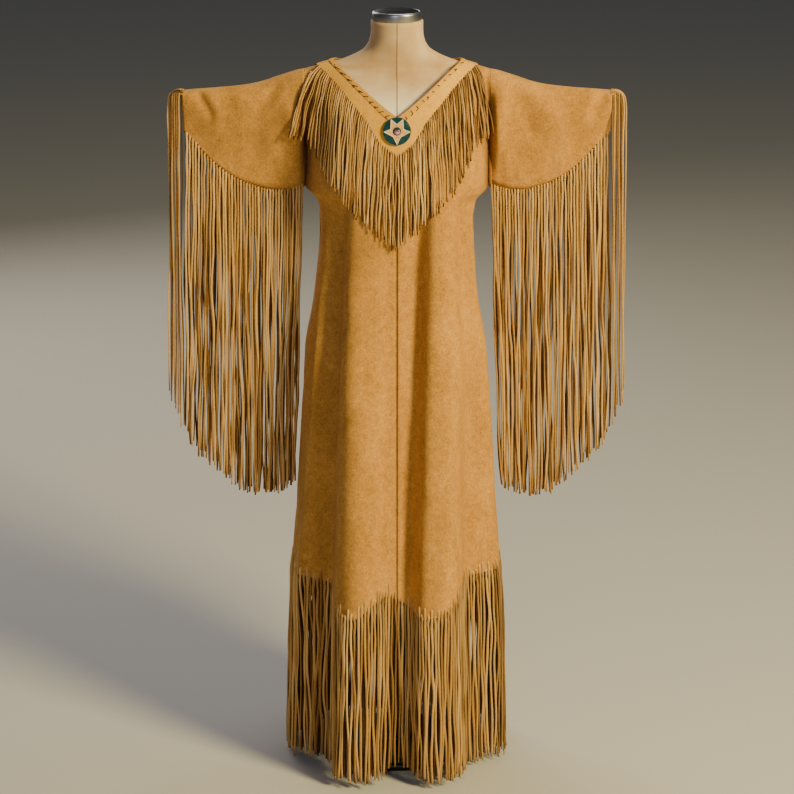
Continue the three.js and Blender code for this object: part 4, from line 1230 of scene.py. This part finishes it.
# the star is beaded by eye: where each tip and the notch after it point, in degrees
starTurns = [(270, 304), (357, 377), (423, 450), (477, 523), (543, 596)]
rise = chestRise(0, rosette["z"])
slope = chestPoint(-1, 0, rise + 0.02) - chestPoint(-1, 0, rise - 0.02)
rosetteOut = Vector((0, -slope.z, slope.y)).normalized()
rosetteUp = slope.normalized()
rosetteSeat = chestPoint(-1, 0, rise) + rosetteOut * rosette["clear"]
rosetteTurn = Matrix((Vector((1, 0, 0)), rosetteUp, rosetteOut)).transposed()


def onRosette(spot):
    return (rosetteSeat + rosetteTurn @ spot) * mm


# a profile, by radius and height, turned once round and then put in its place
def turnedProfile(profile, steps, place):
    bm = bmesh.new()
    verts = [bm.verts.new((radius, 0, z)) for radius, z in profile]
    edges = [bm.edges.new(pair) for pair in zip(verts, verts[1:])]
    bmesh.ops.spin(bm, geom=verts + edges, cent=(0, 0, 0), axis=(0, 0, 1), angle=2 * math.pi,
                   steps=steps, use_merge=True)
    bmesh.ops.remove_doubles(bm, verts=bm.verts, dist=1e-6)
    bmesh.ops.recalc_face_normals(bm, faces=bm.faces)
    for vert in bm.verts:
        vert.co = place(vert.co)
    return bm


def starCorners(outer, waist):
    return [Vector((radius * math.cos(math.radians(turn)), radius * math.sin(math.radians(turn))))
            for row in starTurns for radius, turn in zip((outer, waist), row)]


def starSides(corners):
    return list(zip(corners, corners[1:] + corners[:1]))


# how far a place lies outside the star, less than nothing within it
def outsideStar(place, corners):
    for start, end in starSides(corners):
        if start.cross(place) >= 0 and place.cross(end) >= 0:
            return -(end - start).normalized().cross(place - start)
    return 0.0


def addBead(bm, place, lift, size):
    made = bmesh.ops.create_uvsphere(bm, u_segments=7, v_segments=4, radius=0.5)
    for vert in made["verts"]:
        spot = vert.co * size
        vert.co = onRosette(Vector((place.x + spot.x, place.y + spot.y, lift + spot.z * 0.85)))


def makeStar():
    bm = bmesh.new()
    made = bmesh.ops.create_circle(bm, cap_ends=True, segments=10, radius=1.0)
    for vert, corner in zip(made["verts"], starCorners(rosette["starRadius"], rosette["starWaist"])):
        vert.co = corner.to_3d()
    raised = bmesh.ops.extrude_face_region(bm, geom=bm.faces[:])["geom"]
    upper = [item for item in raised if isinstance(item, bmesh.types.BMVert)]
    bmesh.ops.translate(bm, verts=upper, vec=(0, 0, rosette["starThickness"]))
    bmesh.ops.poke(bm, faces=bm.faces[:])
    bmesh.ops.recalc_face_normals(bm, faces=bm.faces)
    for vert in bm.verts:
        lift = 0.8 if vert.co.to_2d().length < 1 and vert.co.z > 0.1 else 0.0
        vert.co = onRosette(Vector((*vert.co.xy, rosette["thickness"] + 0.5 + vert.co.z + lift)))
    finishPiece(bm, "rosette_star_patch", "ochreBeads", "cream_beads", ["rosette_star"], smooth=False)


def makeRosette():
    ground, infill, outline = bmesh.new(), bmesh.new(), bmesh.new()
    corners = starCorners(rosette["starRadius"], rosette["starWaist"])
    pitch, thick = rosette["bead"], rosette["thickness"]
    onStar = thick + rosette["starThickness"]
    ring = rosette["stoneRadius"] + 0.9
    rng = random.Random(rosette["seed"])
    while ring < rosette["radius"]:
        count = int(2 * math.pi * ring / pitch)
        for i in range(count):
            turn = 2 * math.pi * i / count + ring
            spot = Vector((ring * math.cos(turn), ring * math.sin(turn)))
            outside = outsideStar(spot, corners)
            if outside > rosette["aroundStar"]:
                dome = 0.8 * (1 - (ring / rosette["radius"]) ** 2)
                addBead(ground, spot, thick + dome + 0.25, pitch * rng.uniform(0.92, 1.04))
            elif outside < -rosette["withinStar"]:
                addBead(infill, spot, onStar + 0.5, pitch * 0.95)
        ring += pitch * 0.97
    for start, end in starSides(starCorners(rosette["starRadius"] - 0.4, rosette["starWaist"] - 0.3)):
        count = round((end - start).length / (0.86 * pitch))
        for i in range(count):
            addBead(outline, start.lerp(end, i / count), onStar + 0.8, pitch * 1.05)
    finishPiece(ground, "rosette_beads_teal", "tealBeads", "teal_beads")
    finishPiece(infill, "rosette_beads_ochre", "ochreBeads", "cream_beads")
    finishPiece(outline, "rosette_beads_cream", "creamBeads", "cream_beads")
    makeStar()
    edge, low = rosette["radius"] + 0.4, thick + 0.9
    backing = turnedProfile([(0, 0), (edge - 0.8, 0), (edge, 0.8), (edge, thick - 0.6), (edge - 0.7, thick),
                             (0, low)], 56, onRosette)
    finishPiece(backing, "rosette_backing", "tealBeads", "teal_beads", ["rosette_disc"])
    rim, high = rosette["stoneRadius"], rosette["stoneHeight"]
    collar = turnedProfile([(rim - 1.6, low), (rim + 0.2, low), (rim + 0.2, low + 1.5),
                            (rim - 0.5, low + 2.2), (rim - 1.6, low + 1.7)], 40, onRosette)
    finishPiece(collar, "rosette_collar", "stoneRim", "stone")
    dome = [((rim - 1.3) * math.cos(turn), low + 1.2 + (high - 1.2) * math.sin(turn))
            for turn in (math.pi / 2 * k / 8 for k in range(8))]
    finishes["cabochon"] = makeStone("cabochon", (rosetteSeat.z + 1) * mm, rim * mm)
    stone = turnedProfile([(rim - 1.3, low), *dome, (0, low + high)], 40, onRosette)
    finishPiece(stone, "rosette_cabochon", "cabochon", "stone", ["rosette_stone"])


makeRosette()
print("rosette made")

# dress form: its shoulders lie just under the dress
ridgeDrop = dress["thickness"] / math.cos(math.atan(dress["shoulderFall"])) + 0.6


def ridgeX(z):
    return dress["shoulderX"] + (dress["shoulderZ"] - ridgeDrop - z) / dress["shoulderFall"]


# level: half width, front depth, back depth, roundness
formSections = [
    (780, 126, 80, 90, 2), (788, 138, 88, 100, 2), (880, 147, 92, 96, 2.1), (960, 132, 84, 78, 2.1),
    (1050, 116, 80, 72, 2.1), (1120, 124, 92, 76, 2.2), (1200, 138, 102, 80, 2.3),
    (1270, 148, 100, 82, 2.3), (1320, 155, 91, 73, 2.3), (1355, 161, 74, 58, 2.2), (1378, 163, 56, 46, 2),
    (1387, 161, 43, 38, 1.6), (1391, ridgeX(1391), 40, 37, 1.3), (1395.5, ridgeX(1395.5), 41, 38, 1.35),
    (1400, ridgeX(1400), 42, 41, 1.5), (1404.5, ridgeX(1404.5), 42, 42, 1.55), (1410, 98, 43, 42, 1.65),
    (1418, 79, 44, 44, 1.8), (1430, 60, 46, 46, 2), (1450, 50.5, 48.5, 48, 2), (1480.6, 49, 49, 49, 2),
]
# the ridge of the shoulders is straight; the collar below the neck, from a level to a level and out
# to a half width, is smoothed from front to back
formGrid = {"around": 96, "seamTurns": [0.0, 0.35, 0.8, 1.5, 3.0], "levelStep": 8, "smoothing": 40,
            "ridge": (1386, 1405), "collar": (1.33, 1.445, 0.096), "seamReach": 0.75}


def makeForm():
    levels = []
    for low, high in zip(formSections, formSections[1:]):
        steps = max(2, round((high[0] - low[0]) / formGrid["levelStep"]))
        levels += [mix(low[0], high[0], k / steps) for k in range(steps)]
    levels.append(formSections[-1][0])

    spaces = formGrid["around"]
    turns = formGrid["seamTurns"] + [mix(6, 354, i / spaces) for i in range(spaces + 1)]
    turns += [360 - turn for turn in reversed(formGrid["seamTurns"])]

    def place(u, v):
        z = levels[round(v * (len(levels) - 1))]
        low, high = formGrid["ridge"]
        sizeAt = straightAt if low < z < high else smoothAt
        halfWidth, front, back, power = (sizeAt(formSections, column, z) for column in (1, 2, 3, 4))
        turn = math.radians(turns[round(u * (len(turns) - 1))])
        sine, cosine = math.sin(turn), math.cos(turn)
        x = halfWidth * signedPower(sine, 2 / power)
        y = -(front if cosine > 0 else back) * signedPower(cosine, 2 / power)
        return Vector((x, y, z))

    bm = clothGrid(len(turns) - 1, len(levels) - 1, place)
    bmesh.ops.remove_doubles(bm, verts=bm.verts, dist=0.02 * mm)
    bmesh.ops.holes_fill(bm, edges=[edge for edge in bm.edges if edge.is_boundary], sides=0)
    low, high, reach = formGrid["collar"]
    collar = [vert for vert in bm.verts if low < vert.co.z < high and abs(vert.co.x) < reach]
    for _ in range(formGrid["smoothing"]):
        bmesh.ops.smooth_vert(bm, verts=collar, factor=0.5, use_axis_y=True)
    bmesh.ops.recalc_face_normals(bm, faces=bm.faces)
    setShade(bm, lambda point: math.exp(-(point.x / formGrid["seamReach"]) ** 2) if point.y < 0 else 0.0)
    finishPiece(bm, "form_body", "formCloth", "form_cloth", ["form_torso"])


makeForm()


# neck cap, post and foot, as profiles of radius and height
cap = {"bottom": 1480.9, "ringTop": 1497.6, "top": 1500.8, "radius": 46.5, "domeRadius": 41.0, "round": 4.2}
stand = {"post": [(0, 14.3), (14, 14.3), (14, 779.7), (0, 779.7)],
         "foot": [(0, 0), (128.5, 0), (130, 1.5), (130, 10), (129, 12.4), (126, 14), (0, 14)]}
low, high, wide, curve = cap["bottom"], cap["ringTop"], cap["radius"], cap["round"]
rolled = [(wide - curve * (1 - math.cos(turn)), high - curve * (1 - math.sin(turn)))
          for turn in (math.pi / 2 * k / 6 for k in range(7))]
band = [(0, low), (wide - 1.5, low), (wide - 0.4, low + 0.5), (wide, low + 1.6), *rolled,
        (wide - curve - 0.5, high - 0.5), (wide - curve - 0.8, high - 1.6), (0, high - 1.6)]
low, high, wide = high - 1.3, cap["top"], cap["domeRadius"]
cover = [(0, low), (wide - 0.4, low), (wide, low + 0.4), (wide - 0.6, low + 1.2), (wide - 4, low + 2.2),
         (wide * 0.7, high - 0.4), (wide * 0.4, high), (0, high)]
for name, profile, steps, finish, slot, node in (
        ("form_cap_band", band, 96, "chromedSteel", "chrome", "form_cap_ring"),
        ("form_cap_cover", cover, 96, "blackPlastic", "black_plastic", "form_cap_top"),
        ("form_post", stand["post"], 40, "chromedSteel", "chrome", "form_pole"),
        ("form_foot", stand["foot"], 96, "blackEnamel", "black_iron", "form_base")):
    finishPiece(turnedProfile(profile, steps, lambda co: co * mm), name, finish, slot, [node])
print("form made")

bm = bmesh.new()
bmesh.ops.create_grid(bm, x_segments=1, y_segments=1, size=surroundings["floorHalf"])
floorMesh = bpy.data.meshes.new("floor")
bm.to_mesh(floorMesh)
bm.free()
floorMesh.materials.append(finishes["floorPaint"])
floor = bpy.data.objects.new("floor", floorMesh)
bpy.context.collection.objects.link(floor)

print("scene done")
